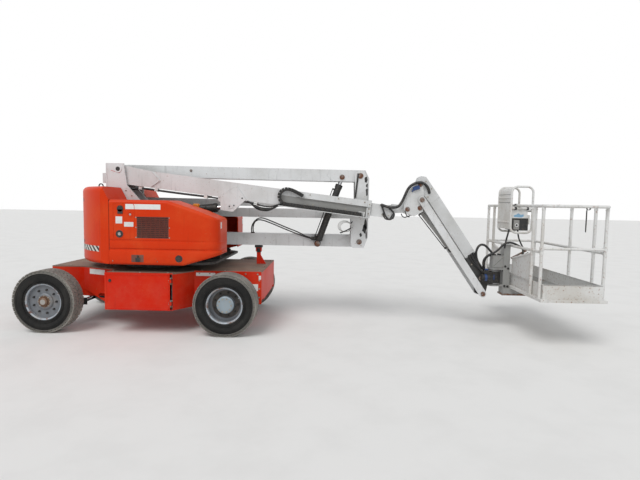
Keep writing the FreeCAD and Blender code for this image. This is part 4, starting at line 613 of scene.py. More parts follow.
def tyre_tread(body, center, outer, half):
    tread = Piece("tyre_tread_" + body, body, "tread_rubber")
    length = 2 * math.pi * outer / TREAD_PITCHES * BLOCK_FILL
    for across, wide, shift, lean in BLOCK_ROWS:
        for n in range(TREAD_PITCHES):
            angle = 2 * math.pi * (n + shift) / TREAD_PITCHES
            spoke = Vector((math.cos(angle), 0, math.sin(angle)))
            along = Vector((-math.sin(angle), 0, math.cos(angle)))
            outline = []
            for u, v in ((-0.5, -0.5), (0.5, -0.5), (0.5, 0.5), (-0.5, 0.5)):
                step = v * length + lean * u * length * BLOCK_LEAN
                reach = math.sqrt(max((outer - 0.0004) ** 2 - step ** 2, 0.0))
                outline.append(center + Vector((0, across + u * wide, 0)) + along * step + spoke * reach)
            tread.plate(outline, spoke * -(TREAD_DEPTH + 0.004))
    half_angle = math.pi / TREAD_PITCHES * BLOCK_FILL
    for sign in (-1, 1):
        edge = [(outer - 0.030, sign * (half - 0.016)), (outer - 0.012, sign * (half - 0.0215)),
                (outer - 0.0045, sign * (half - 0.032)), (outer - 0.0035, sign * (half - 0.042)),
                (outer - 0.012, sign * (half - 0.046))]
        for n in range(TREAD_PITCHES):
            middle = 2 * math.pi * (n + 0.25) / TREAD_PITCHES
            rows = []
            for angle in (middle - half_angle, middle + half_angle):
                spoke = Vector((math.cos(angle), 0, math.sin(angle)))
                rows.append([tread.mesh.verts.new(center + spoke * r + Vector((0, across, 0))) for r, across in edge])
            tread.strip(*rows).caps(*rows)
    tread.done(bevel=0.002, segments=1)


def wheel(kind, side, word):
    node, body = kind + "_tyre_" + word, kind + "_wheel_" + word
    driven = kind == "drive"
    low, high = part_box(node)
    center = (low + high) / 2
    outer = (high.z - low.z) / 2
    half = (high.y - low.y) / 2
    tyre_casing(node, body, kind + "_tyre", center, outer, half)
    tyre_tread(body, center, outer, half)

    face = center.y + side * (-0.006 if driven else 0.058)
    nuts = Piece("wheel_nuts_" + body, body, "dark_steel")
    for angle in full_turn(WHEEL_NUTS):
        spot = Vector((center.x + NUT_CIRCLE * math.cos(angle), face, center.z + NUT_CIRCLE * math.sin(angle)))
        nuts.nut(spot + Vector((0, side * 0.008, 0)), ALONG_Y, 0.013, 0.016)
        nuts.rod(spot, spot + Vector((0, side * 0.024, 0)), 0.0065, 10)
    nuts.done(bevel=0.0012, segments=1)
    lip = Piece("rim_lip_" + body, body, "rim_paint")
    lip.lathe([(0.186, half - 0.034), (0.190, half - 0.022), (0.200, half - 0.016), (0.209, half - 0.014),
               (0.211, half - 0.018), (0.204, half - 0.024), (0.198, half - 0.030), (0.198, half - 0.050),
               (0.186, half - 0.050)], center, (0, side, 0), 72, closed=True)
    lip.rod(center + Vector((0.150, side * (half - 0.060), 0.080)),
            center + Vector((0.158, side * (half - 0.028), 0.086)), 0.005, 10)
    lip.done()
    rim_low, rim_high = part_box(kind + "_rim_" + word)
    if driven:
        circle, count, size, hub_face = 0.074, 10, 0.008, rim_high.y if side > 0 else rim_low.y
    else:
        circle, count, size, hub_face = 0.066, 8, 0.0065, center.y + side * 0.078
    spots = [Vector((center.x + circle * math.cos(a), hub_face, center.z + circle * math.sin(a)))
             for a in full_turn(count)]
    bolts("hub_bolts_" + body, body, spots, (0, side, 0), size)


def wheels():
    for side, word in SIDES:
        wheel("steer", side, word)
        wheel("drive", side, word)


# Chassis details

def battery_door_details(side, word):
    door = "battery_door_" + word
    low, high = local_box(door)
    face = side * 0.862
    back, front = face - side * 0.002, face + side * 0.0035
    x0, x1 = low.x + 0.012, high.x - 0.034
    blocks("door_edge_" + word, door, "red_paint", 0.0012,
           (x0, x1, back, front, high.z - 0.020, high.z - 0.008), (x0, x1, back, front, low.z + 0.008, low.z + 0.020),
           *((x, x + 0.012, back, front, low.z + 0.014, high.z - 0.014) for x in (x0, high.x - 0.046)))
    latch = Piece("door_latch_" + word, door, "black_plastic")
    latch.disc(at(low.x + 0.060, face + side * 0.001, high.z - 0.085), ALONG_Y, 0.017, 0.007)
    latch.span(low.x + 0.054, low.x + 0.066, face, face + side * 0.008, high.z - 0.104, high.z - 0.066)
    latch.done(bevel=0.001)
    heights = (low.z + 0.072, low.z + 0.090, high.z - 0.090, high.z - 0.072)
    bolts("door_hinge_bolts_" + word, door, [at(high.x - 0.036, face, z) for z in heights], (0, side, 0), 0.0045)


def chassis_side_details(side, word):
    face = side * 0.592
    spots = [at(x, face, 0.672) for x in (0.66, 0.78, 0.92, 1.06, 1.20, 1.34)]
    spots += [at(1.36, face, z) for z in (0.40, 0.50, 0.60)]
    bolts("frame_bolts_" + word, "chassis", spots, (0, side, 0), 0.008)
    blocks("deck_edge_" + word, "chassis", "red_paint", 0.002,
           (0.60, 1.383, side * 0.584, side * 0.5935, 0.688, 0.7005),
           (-0.330, 0.430, side * 0.836, side * 0.8445, 0.689, 0.7008))
    patch("blank_plates_" + word, "chassis", "label_white",
          ((0.620, 0.845, 0.640, 0.678), (1.240, 1.345, 0.475, 0.555), (1.352, 1.380, 0.610, 0.655)), face, side)
    plate = Piece("blank_slant_plate_" + word, "chassis", "label_white")
    plate.box(at(-0.600, side * (0.400 + 0.192 * 0.200 / 0.475), 0.645), (0.245, 0.002, 0.062),
              Matrix.Rotation(math.atan2(side * 0.192, 0.475), 3, "Z"))
    plate.done(bevel=0.0003, segments=1)
    blocks("box_seam_" + word, "chassis", "dark_steel", 0.001,
           (0.4165, 0.4285, side * 0.840, side * 0.8445, 0.292, 0.684))
    hinge = Piece("box_hinges_" + word, "chassis", "rusty_steel")
    for z in (0.322, 0.577):
        hinge.rod(at(0.415, side * 0.862, z), at(0.415, side * 0.862, z + 0.016), 0.0088, 16)
        hinge.rod(at(0.415, side * 0.862, z + 0.064), at(0.415, side * 0.862, z + 0.078), 0.0088, 16)
        hinge.span(0.412, 0.431, side * 0.842, side * 0.858, z, z + 0.016)
        hinge.span(0.412, 0.431, side * 0.842, side * 0.858, z + 0.064, z + 0.078)
    hinge.done(bevel=0.001)
    tubes("wheel_motor_lines_" + word, "chassis", "hose_black", 0.010,
          [((x, side * 0.425, 0.45), (x, side * 0.43, 0.50), (x - 0.05, side * 0.45, 0.56),
            (x - 0.14, side * (0.46 + 0.01 * k), 0.60), (x - 0.28, side * 0.46, 0.62))
           for k, x in enumerate((0.965, 1.000, 1.035))])


def chassis_details():
    for side, word in SIDES:
        battery_door_details(side, word)
        chassis_side_details(side, word)
    rubber = Piece("rest_pad_cover", "chassis", "black_plastic")
    rubber.box(at(1.235, 0.170, 0.9318), (0.0945, 0.0945, 0.0310))
    rubber.rod(at(1.235, 0.170, 0.852), at(1.235, 0.170, 0.905), 0.031, 28)
    for k in range(5):
        rubber.disc(at(1.235, 0.170, 0.858 + 0.010 * k), UP, 0.036, 0.005, 28)
    rubber.done(bevel=0.002)
    cylinder = Piece("steer_cylinder", "chassis", "dark_steel")
    cylinder.rod(at(-0.800, -0.20, 0.292), at(-0.800, 0.20, 0.292), 0.030, 28)
    for y in (-0.20, 0.18):
        cylinder.rod(at(-0.800, y, 0.292), at(-0.800, y + 0.02, 0.292), 0.035, 28)
        cylinder.span(-0.86, -0.79, y, y + 0.018, 0.292, 0.345)
    cylinder.done(bevel=0.0015)
    Piece("steer_cylinder_rod", "tie_rod", "chrome_rod").rod(
        at(-0.800, -0.38, 0.292), at(-0.800, 0.38, 0.292), 0.014, 24).done()
    blocks("steer_rod_brackets", "tie_rod", "dark_steel", 0.002,
           *((-0.895, -0.785, side * 0.372, side * 0.388, 0.223, 0.308) for side in (-1, 1)))
    tubes("steer_hoses", "chassis", "hose_black", 0.008,
          [((-0.800, side * 0.185, 0.320), (-0.790, side * 0.18, 0.36), (-0.72, side * 0.14, 0.37),
            (-0.60, side * 0.10, 0.335), (-0.52, side * 0.08, 0.36)) for side in (-1, 1)])
    deck_spots = ((-1.15, 0.36), (-0.98, 0.36), (-0.50, 0.47), (-0.27, 0.77), (0.05, 0.81), (0.36, 0.80),
                  (0.68, 0.555), (0.95, 0.555), (1.20, 0.555), (1.35, 0.50), (1.35, 0.10))
    bolts("deck_bolts", "chassis", [at(x, side * y, 0.700) for side in (-1, 1) for x, y in deck_spots], UP, 0.009)
    ring = [at(0.372 * math.cos(a), 0.372 * math.sin(a), 0.780) for a in full_turn(24)]
    bolts("bearing_bolts", "chassis", ring, UP, 0.0045)
    axle = Piece("axle_mount_bolts", "chassis", "bolt_zinc")
    for k in range(2):
        for side in (-1, 1):
            axle.disc(at(-1.07 + 0.11 * k, side * 0.13, 0.4605) - Vector((0, 0, 0.010)), UP, 0.012, 0.018, 6)
    axle.done(bevel=0.001)


# Turntable details

BELT_OUT = 0.006
SKIRT_OUT = 0.019
TAIL_RADIUS = 0.8898
STRIPE_STEPS = 16
STRIPE_START, STRIPE_SWEEP = 0.46, 0.62
BEACON = (0.536, -0.287)


def cover_band(name, cover, side, low, rise, high, out, soft):
    """Raised band round a cover's outer face and its corner, with soft upper and lower edges."""
    route = [(x, 0.800, 0.0, 1.0) for x in (-0.290, 0.000, 0.250, 0.540, 0.660)]
    for k in range(9):
        across, along = math.cos(math.radians(90 - 11.25 * k)), math.sin(math.radians(90 - 11.25 * k))
        route.append((0.775 + 0.150 * across, 0.650 + 0.150 * along, across, along))
    route.append((0.925, 0.440, 1.0, 0.0))
    piece = Piece(name, cover, "cover_paint")
    rows = []
    for x, y, nx, ny in route:
        bottom = low + max(x - 0.540, 0.0) * rise
        profile = [(-0.0015, bottom), (out * 0.7, bottom + soft * 0.25), (out, bottom + soft), (out, high - soft),
                   (out * 0.7, high - soft * 0.25), (-0.0015, high)]
        rows.append([piece.mesh.verts.new(at(x + nx * push, side * (y + ny * push), z)) for push, z in profile])
    for here, there in zip(rows, rows[1:]):
        piece.strip(here, there)
    piece.caps(rows[0], rows[-1])
    piece.done()


def panel_rim(name, cover, side, y):
    """Raised line round the cover's upper panel, a rectangle with round corners."""
    rim = Piece(name, cover, "cover_paint")
    x0, x1, z0, z1, r = -0.250, -0.006, 1.068, 1.478, 0.040
    corners = []
    for cx, cz, first in ((x1 - r, z1 - r, 0), (x0 + r, z1 - r, 90), (x0 + r, z0 + r, 180), (x1 - r, z0 + r, 270)):
        for k in range(5):
            angle = math.radians(first + 22.5 * k)
            corners.append(at(cx + r * math.cos(angle), y - side * 0.0005, cz + r * math.sin(angle)))
    middle = Vector(((x0 + x1) / 2 + SWING.x, corners[0].y, (z0 + z1) / 2))
    for a, b in zip(corners, corners[1:] + corners[:1]):
        rim.plate([a, b, b + (middle - b).normalized() * 0.007, a + (middle - a).normalized() * 0.007],
                  Vector((0, side * 0.003, 0)))
    rim.done(bevel=0.0008, segments=1)


def cover_details(side, word):
    cover = "cover_" + word
    y = side * 0.800
    skirt = y + side * SKIRT_OUT
    patch("blank_plates_cover_" + word, cover, "label_white",
          ((-0.108, 0.285, 1.405, 1.462), (-0.220, -0.145, 1.244, 1.322), (-0.125, -0.020, 1.210, 1.262)), y, side)
    caps_with_hole_shade = Piece("filler_caps_" + word, cover, "black_plastic")
    caps_with_hole_shade.disc(at(-0.167, y, 1.410), ALONG_Y, 0.036, 0.014, 32)
    caps_with_hole_shade.box(at(-0.167, y, 1.378), (0.058, 0.014, 0.050))
    caps_with_hole_shade.disc(at(-0.177, y, 1.128), ALONG_Y, 0.043, 0.010, 36)
    # The black disc on the skirt stands for a hole in it: painted shade.
    caps_with_hole_shade.disc(at(0.494, skirt, 0.862), ALONG_Y, 0.043, 0.004, 36)
    caps_with_hole_shade.done(bevel=0.003)
    dial = Piece("meter_face_" + word, cover, "bare_steel")
    dial.disc(at(-0.177, y + side * 0.004, 1.128), ALONG_Y, 0.018, 0.006, 28)
    dial.disc(at(-0.055, y, 1.346), ALONG_Y, 0.012, 0.006, 20)
    dial.done(bevel=0.001)
    ring = Piece("cover_rings_" + word, cover, "cover_paint")
    for x, face, z, r in ((-0.055, y, 1.346, 0.028), (0.494, skirt, 0.862, 0.047), (-0.177, y, 1.128, 0.046)):
        ring.lathe([(r, -0.001), (r, 0.003), (r - 0.003, 0.005), (r - 0.006, 0.003), (r - 0.006, -0.001)],
                   at(x, face, z), (0, side, 0), 40, closed=True)
    ring.done()
    panel_rim("cover_panel_rim_" + word, cover, side, y)
    cover_band("cover_belt_" + word, cover, side, 0.966, 0.0, 1.046, BELT_OUT, 0.012)
    cover_band("cover_skirt_" + word, cover, side, 0.794, 0.2987, 0.953, SKIRT_OUT, 0.026)
    # A darker red pan stands for the latch's recess: painted shade.
    blocks("latch_pan_" + word, cover, "grille_steel", 0.0008,
           (-0.040, 0.098, y + side * (SKIRT_OUT - 0.001), y + side * (SKIRT_OUT + 0.0012), 0.816, 0.898))
    latch = Piece("cover_latch_" + word, cover, "black_plastic")
    latch.span(0.008, 0.060, skirt, y + side * (SKIRT_OUT + 0.009), 0.820, 0.866)
    grip = y + side * (SKIRT_OUT + 0.005)
    latch.rod(at(0.034, grip, 0.850), at(0.034, grip, 0.892), 0.008, 14)
    latch.done(bevel=0.0015)
    lens = Piece("cover_lens_" + word, cover, "label_white")
    lens.box(at(0.9235, side * 0.640, 1.235), (0.006, 0.050, 0.072)).done(bevel=0.002)
    screws = [at(x, y, z) for x in (0.008, 0.383) for z in (1.092, 1.203, 1.315)]
    screws += [at(x, skirt, 0.826) for x in (-0.25, 0.25)]
    bolts("cover_screws_" + word, cover, screws, (0, side, 0), 0.0055)
    blocks("grille_backing_" + word, cover, "black_plastic", 0.0,
           (0.020, 0.371, side * 0.784, side * 0.787, 1.087, 1.320))
    mesh = Piece("grille_mesh_" + word, cover, "grille_steel")
    for k in range(26):
        x = 0.030 + 0.0135 * k
        mesh.rod(at(x - 0.012, side * 0.7985, 1.088), at(x + 0.012, side * 0.7985, 1.319), 0.0022, 6)
    mesh.done()
    gasket = Piece("cover_seal_" + word, "turntable", "black_plastic")
    gasket.box(at(-0.2975, side * 0.560, 1.150), (0.0035, 0.470, 0.700)).done()


def turntable_details():
    for side, word in SIDES:
        cover_details(side, word)
    stripes = Piece("hazard_stripes_tail", "turntable", "hazard_stripes")
    for side in (-1, 1):
        for n in range(STRIPE_STEPS):
            first, second = (math.pi + side * (STRIPE_START + STRIPE_SWEEP * k / STRIPE_STEPS) for k in (n, n + 1))
            corners = [at(TAIL_RADIUS * math.cos(a), TAIL_RADIUS * math.sin(a), z)
                       for a, z in ((first, 0.922), (second, 0.922), (second, 0.985), (first, 0.985))]
            middle = (first + second) / 2
            stripes.plate(corners, Vector((math.cos(middle), math.sin(middle), 0)) * 0.0011)
    stripes.done(smooth=False)
    plugs = Piece("counterweight_bolts", "turntable", "dark_steel")
    for a in (math.pi - 0.62, math.pi, math.pi + 0.62):
        way = Vector((math.cos(a), math.sin(a), 0))
        for z in (1.02, 1.50):
            spot = at(0.889 * math.cos(a), 0.889 * math.sin(a), z)
            plugs.disc(spot, way, 0.024, 0.003, 24)
            plugs.nut(spot - way * 0.002, way, 0.015, 0.009)
    plugs.done(bevel=0.001)
    eyes = Piece("counterweight_eyes", "turntable", "dark_steel")
    for side in (-1, 1):
        eyes.lathe([(0.030, -0.006), (0.030, 0.006), (0.018, 0.006), (0.018, -0.006)],
                   at(-0.55, side * 0.45, 1.668), ALONG_Y, 28, closed=True)
    eyes.done(bevel=0.002)
    horn = Piece("horn", "turntable", "black_plastic")
    horn.rod(at(0.590, -0.287, 1.430), at(0.655, -0.287, 1.430), 0.030, 28, 0.024)
    horn.rod(at(0.560, -0.287, 1.430), at(0.592, -0.287, 1.430), 0.018, 20)
    horn.box(at(0.545, -0.287, 1.406), (0.060, 0.018, 0.010))
    horn.done(bevel=0.001)
    guard = Piece("beacon_base_ring", "turntable", "black_plastic")
    guard.lathe([(0.049, 0.0), (0.053, 0.004), (0.053, 0.014), (0.047, 0.020), (0.0425, 0.020), (0.0425, 0.0)],
                at(*BEACON, 1.400), UP, 40, closed=True)
    guard.done()
    ribs = Piece("beacon_ribs", "turntable", "amber_lens")
    for k in range(5):
        ribs.lathe([(0.0418, 0.0), (0.0432, 0.0015), (0.0418, 0.003)], at(*BEACON, 1.424 + 0.009 * k), UP, 40,
                   closed=True)
    ribs.done()
    plant = Piece("power_unit_fittings", "turntable", "dark_steel")
    plant.rod(at(0.05, -0.52, 1.300), at(0.05, -0.52, 1.395), 0.055, 32)
    plant.rod(at(0.30, -0.56, 1.300), at(0.30, -0.56, 1.350), 0.040, 28)
    plant.box(at(0.48, -0.52, 1.325), (0.160, 0.120, 0.052))
    plant.done(bevel=0.004)
    routes = []
    for k in range(5):
        y = -0.225 + 0.030 * k
        routes.append(((0.62, -0.38 + 0.02 * k, 1.28), (0.58, -0.34, 1.33 - 0.01 * k), (0.40, -0.29 + 0.01 * k, 1.30),
                       (0.10, y - 0.04, 1.24), (-0.10, y, 1.18), (-0.14, y, 1.02), (-0.14, y, 0.86)))
    tubes("turntable_hoses", "turntable", "hose_black", 0.011, routes)
    bolts("web_bolts", "turntable", [at(x, -0.2775, 0.90) for x in (-0.40, -0.10, 0.20, 0.50)], ALONG_Y, 0.010)


# Cylinders: gland, fittings and hard lines

def cylinder_dress(name, base, top, y, radius, rod_radius, start, length, line):
    """Dress the barrel from base to top, both (x, z); its line runs above it or, where line is -1, below."""
    barrel = name + "_barrel"
    way = Vector((top[0] - base[0], 0, top[1] - base[1])).normalized()
    side = Vector((way.z, 0, -way.x)) * line
    first = at(base[0], y, base[1])
    near, far = start + 0.034, start + length - 0.078
    gland = Piece(name + "_gland", barrel, "dark_steel")
    gland.lathe([(radius + 0.0005, -0.050), (radius + 0.0045, -0.047), (radius + 0.0045, -0.004),
                 (radius - 0.002, 0.0008), (rod_radius + 0.0018, 0.0008), (rod_radius + 0.0018, -0.006),
                 (radius - 0.004, -0.010), (radius - 0.004, -0.050)],
                first + way * (start + length), way, 44, closed=True)
    gland.lathe([(radius + 0.0005, 0.0), (radius + 0.0035, 0.002), (radius + 0.0035, 0.022),
                 (radius + 0.0005, 0.024), (radius - 0.003, 0.022), (radius - 0.003, 0.002)],
                first + way * (start + 0.006), way, 44, closed=True)
    for along in (near, far):
        spot = first + way * along + side * radius
        gland.rod(spot - side * 0.006, spot + side * 0.016, 0.011, 16)
        gland.nut(spot + side * 0.020, side, 0.010, 0.012)
    gland.done()
    pipe = Piece(name + "_line", barrel, "hose_black")
    out = side * (radius + 0.020)
    inlet = first + way * near + out
    pipe.rod(inlet, inlet + way * 0.001, 0.006, 12)
    pipe.rod(inlet + way * 0.002, first + way * far + out, 0.0055, 12)
    pipe.done()


def cylinders():
    cylinder_dress("riser_cylinder", (2.011, 0.993), (2.311, 1.842), 0.044, 0.042, 0.024, 0.042, 0.760, -1)
    cylinder_dress("boom_cylinder", (-0.150, 1.340), (0.950, 1.452), JIB_Y, 0.052, 0.030, 0.042, 0.880, 1)
    rod_pin = on_jib(1.010, -0.090, 0) - at(0, 0, 0)
    cylinder_dress("jib_cylinder", (3.255, 1.472), (rod_pin.x, rod_pin.z), JIB_Y, 0.030, 0.017, 0.038, 0.640, 1)


# Riser details

# Worn openings of the mid pivot's plate: x, z, half width and half height
PLATE_SLOTS = ((2.610, 1.812, 0.026, 0.050), (2.624, 1.742, 0.014, 0.030), (2.626, 1.665, 0.018, 0.062),
               (2.618, 1.255, 0.024, 0.075), (2.606, 1.190, 0.030, 0.060), (2.560, 1.118, 0.018, 0.026),
               (2.632, 1.120, 0.012, 0.050))
SLOT_CORNERS = 11


def riser_details():
    heights = (1.030, 1.375, 1.488, 1.860)
    pin_ends("mid_pins_near", "mid_pivot", [(2.540, -0.055, z, -1, 0.024) for z in heights], 0.001, 1)
    pin_ends("mid_pins_far", "mid_pivot", [(2.540, 0.285, z, 1, 0.024) for z in heights], 0.001, 1)
    sheets("mid_black_bar", "mid_pivot", "black_plastic", 0.002,
           (-0.0495, ((2.500, 1.890), (2.521, 1.890), (2.490, 1.586), (2.469, 1.586)), -0.011))
    marks = Piece("mid_plate_slots", "mid_pivot", "black_plastic")
    for x, z, w, h in PLATE_SLOTS:
        outline = []
        for angle in full_turn(SLOT_CORNERS):
            swell = random.uniform(0.62, 1.15)
            outline.append((x + w * swell * math.cos(angle), z + h * swell * math.sin(angle)))
        marks.sheet(-0.0496, outline, -0.0010)
    marks.done(smooth=False)
    sheets("mid_edge_ribs", "mid_pivot", "white_paint", 0.003,
           (-0.0499, ((2.636, 1.095), (2.649, 1.095), (2.649, 1.825), (2.636, 1.825)), -0.012),
           (-0.0499, ((2.600, 1.926), (2.596, 1.915), (2.639, 1.822), (2.649, 1.828)), -0.012))
    outline = ((2.288, 1.030), (2.405, 1.104), (2.560, 1.104), (2.560, 0.956), (2.395, 0.956))
    sheets("lower_arm_doubler", "lower_arm", "white_paint", 0.002, (0.1002, outline, -0.008), (0.2398, outline, 0.008))
    tubes("upper_arm_weld", "upper_arm", "white_paint", 0.0032,
          (((2.118, -0.0165, 1.862), (2.150, -0.0165, 1.838), (2.186, -0.0165, 1.800)),
           ((2.118, -0.0165, 1.862), (2.130, -0.0165, 1.900), (2.150, -0.0165, 1.930))))
    heads = Piece("upper_arm_pin_heads", "upper_arm", "rusty_steel")
    heads.pin_end(2.311, -0.023, 1.842, -1, 0.022)
    heads.bolt(at(0.392, -0.0150, 1.893), NEAR, 0.014)
    heads.bolt(at(0.392, 0.2450, 1.893), ALONG_Y, 0.014)
    heads.done()
    pin_ends("riser_base_pin", "lower_arm", [(2.011, -0.0105, 0.993, -1, 0.024)])
    coil = Piece("wire_coil", "mid_pivot", "label_white")
    for k in range(4):
        cx, cz, r = 2.352 + 0.006 * k, 1.226 - 0.004 * k, 0.072 - 0.004 * k
        turns = [2 * math.pi * n / 18 for n in range(19)]
        coil.tube([at(cx + r * math.cos(a) * 1.18, -0.066 - 0.006 * k, cz + r * math.sin(a)) for a in turns],
                  0.0030, sides=2)
    coil.done()
    tie = Piece("coil_ties", "mid_pivot", "black_plastic")
    tie.tube([at(2.296, -0.078, 1.142), at(2.360, -0.092, 1.160), at(2.447, -0.072, 1.214)], 0.0075)
    tie.tube([at(2.425, -0.050, 1.256), at(2.436, -0.080, 1.270), at(2.450, -0.052, 1.284)], 0.006)
    tie.done()
    stubs = Piece("base_hose_fittings", "lower_arm", "black_plastic")
    stubs.box(at(1.962, 0.058, 1.056), (0.064, 0.036, 0.044))
    stubs.rod(at(1.930, 0.050, 1.060), at(1.968, 0.050, 1.060), 0.013, 16)
    stubs.rod(at(1.930, 0.072, 1.050), at(1.968, 0.072, 1.050), 0.013, 16)
    stubs.span(1.935, 1.990, 0.060, 0.1005, 1.030, 1.075)
    stubs.done(bevel=0.003)
    for k, (y, sag) in enumerate(((0.050, 0.0), (0.072, 0.030))):
        hose("riser_hose_%d" % (k + 1), "lower_arm",
             ((1.935, y, 1.060 - 0.010 * k), (1.860, y, 1.080 - sag * 0.3), (1.777, y, 1.128 - sag),
              (1.608, y, 1.190 - sag), (1.411, y + 0.010, 1.270 - sag), (1.270, 0.075, 1.320 - sag),
              (1.180 + 0.010 * k, 0.090, 1.265), (1.140 + 0.020 * k, 0.106, 1.170),
              (1.150 + 0.022 * k, 0.1105, 1.1135)), 0.0075)
    clip = Piece("riser_hose_clip", "lower_arm", "dark_steel")
    clip.box(at(1.162, 0.1120, 1.114), (0.050, 0.024, 0.016)).done(bevel=0.002)
    pin_ends("stand_pins", "turntable",
             [(-0.414, y, z, side, 0.024) for z in (1.030, 1.375) for y, side in ((0.050, -1), (0.285, 1))])


# Boom details

CHAIN_PITCH = 0.034
CHAIN_BEND, CHAIN_RADIUS = (2.075, -0.058), 0.092
CHAIN_Y = -0.291
SIDE_PLATE = -0.2550
TRAY_BACK = -0.2590


def energy_chain():
    """Flat link chain: along the tray, round one bend and back to its moving end."""
    path = [(3.000 - CHAIN_PITCH * k, -0.150) for k in range(28)]
    for k in range(9):
        angle = math.radians(270 - 22.5 * k)
        path.append((CHAIN_BEND[0] + CHAIN_RADIUS * math.cos(angle), CHAIN_BEND[1] + CHAIN_RADIUS * math.sin(angle)))
    path += [(2.110, 0.031), (2.143, 0.024), (2.175, 0.014), (2.207, 0.002), (2.239, -0.012), (2.270, -0.026)]
    chain = Piece("energy_chain", "main_boom", "black_plastic")
    for (u0, n0), (u1, n1) in zip(path, path[1:]):
        turn = turn_y(BOOM_TILT + math.atan2(n1 - n0, u1 - u0))
        spot = on_boom((u0 + u1) / 2, (n0 + n1) / 2, CHAIN_Y)
        chain.box(spot, (0.0315, 0.050, 0.042), turn)
        chain.box(spot, (0.018, 0.054, 0.028), turn)
    chain.done(bevel=0.0022, segments=1)


def pivot_details():
    pins = Piece("boom_pin_ends", "upper_pivot", "black_plastic")
    pins.disc(at(-0.414, -0.3065, 1.882), ALONG_Y, 0.0255, 0.003, 32)
    pins.disc(at(-0.414, 0.3125, 1.882), ALONG_Y, 0.0255, 0.003, 32)
    pins.done(bevel=0.001)
    keepers = Piece("pivot_keepers", "upper_pivot", "white_paint")
    for y, out in ((-0.3005, -1), (0.3065, 1)):
        keepers.lathe([(0.026, 0.0), (0.046, 0.0), (0.046, 0.004), (0.044, 0.006), (0.028, 0.006), (0.026, 0.004)],
                      at(-0.414, y, 1.882), (0, out, 0), 40, closed=True)
    keepers.disc(at(-0.150, -0.3015, 1.340), ALONG_Y, 0.036, 0.004, 32)
    keepers.disc(at(-0.414, 0.3075, 1.510), ALONG_Y, 0.036, 0.004, 32)
    keepers.done(bevel=0.0008)
    mark = Piece("pivot_mark", "upper_pivot", "signal_red")
    mark.box(at(-0.448, -0.3003, 1.848), (0.112, 0.0012, 0.005), turn_y(math.radians(-16))).done()
    blocks("pivot_edge_bends", "upper_pivot", "white_paint", 0.003, (-0.562, -0.548, -0.3065, -0.2995, 1.585, 1.946))
    spots = ((-0.320, 1.620), (-0.250, 1.560), (-0.180, 1.490))
    bolts("pivot_bolts", "upper_pivot", [at(x, -0.300, z) for x, z in spots], NEAR, 0.007)
    blocks("gauge_cover", "upper_pivot", "grey_paint", 0.001, (-0.6935, -0.6915, -0.116, 0.056, 1.722, 1.833))
    bolts("gauge_screws", "upper_pivot", [at(-0.6935, y, z) for y in (-0.105, 0.045) for z in (1.731, 1.824)],
          (-1, 0, 0), 0.004)


def boom_side_details():
    arrow = Piece("boom_doubler_welds", "main_boom", "white_paint")
    for y in (-0.2645, -0.0655):
        arrow.tube([on_boom(u, n, y) for u, n in ((0.400, -0.170), (0.455, -0.122), (0.508, -0.074), (0.455, -0.026),
                                                  (0.400, 0.022))], 0.0030, order=2)
    arrow.done()
    # The tray's recessed back is grey where the boom is white: painted shade under the top flange.
    boom_blocks("cable_tray_back", "main_boom", "grey_paint", 0.001,
                (2.000, 3.090, -0.176, -0.048, SIDE_PLATE, TRAY_BACK))
    boom_blocks("cable_tray_lips", "main_boom", "white_paint", 0.0012,
                (1.985, 3.100, -0.184, -0.176, SIDE_PLATE, -0.3200),
                (2.255, 3.100, -0.050, -0.044, SIDE_PLATE, -0.2830),
                (3.050, 3.060, -0.176, -0.060, SIDE_PLATE, -0.3150))
    boom_blocks("chain_end_bracket", "main_boom", "white_paint", 0.002,
                (2.960, 3.040, -0.172, -0.118, TRAY_BACK, -0.2640), (3.020, 3.034, -0.172, -0.118, TRAY_BACK, -0.3160))
    spots = [on_boom(u, 0.000, SIDE_PLATE) for u in (2.35, 2.70, 3.02)]
    bolts("tray_bolts", "main_boom", spots + [on_boom(u, -0.115, TRAY_BACK) for u in (2.40, 2.80)], NEAR, 0.007)
    energy_chain()

    boom_blocks("boom_mouth_collar", "main_boom", "white_paint", 0.0025,
                *((3.060, 3.104, n0, n1, -0.262, -0.068) for n0, n1 in ((0.0250, 0.0330), (-0.1810, -0.1730))),
                *((3.060, 3.104, -0.1810, 0.0330, y0, y1) for y0, y1 in ((-0.2630, -0.2550), (-0.0750, -0.0670))))
    boom_blocks("wear_pads", "main_boom", "black_plastic", 0.001,
                *((3.040, 3.1075, n0, n1, -0.225, -0.105) for n0, n1 in ((0.0060, 0.0168), (-0.1648, -0.1540))),
                *((3.040, 3.1075, -0.130, -0.018, y0, y1) for y0, y1 in ((-0.2468, -0.2418), (-0.0882, -0.0832))))
    bolts("wear_pad_bolts", "main_boom", [on_boom(3.082, n, -0.263) for n in (-0.13, -0.074, -0.018)], NEAR, 0.0065)
    route = [(x, -0.2560, z) for x, z in ((0.824, 1.572), (1.006, 1.697), (1.036, 1.697), (1.142, 1.542))]
    tubes("boom_lug_welds", "main_boom", "white_paint", 0.0035, [route], order=2)
    sheets("boom_lug_face", "main_boom", "white_paint", 0.002,
           (-0.2500, ((0.824, 1.568), (1.010, 1.694), (1.032, 1.694), (1.139, 1.538), (0.984, 1.390), (0.960, 1.386),
                      (0.824, 1.404)), -0.0120))
    head = Piece("boom_rod_pin_head", "main_boom", "white_paint")
    head.disc(at(0.950, -0.2610, 1.452), ALONG_Y, 0.029, 0.012, 28).done(bevel=0.001)
    head = Piece("boom_lug_bolts", "main_boom", "dark_steel")
    for x, y, z in ((0.937, -0.2680, 1.451), (0.990, -0.2630, 1.463), (1.092, -0.2630, 1.553)):
        head.bolt(at(x, y, z), NEAR, 0.007)
    head.done(bevel=0.001)


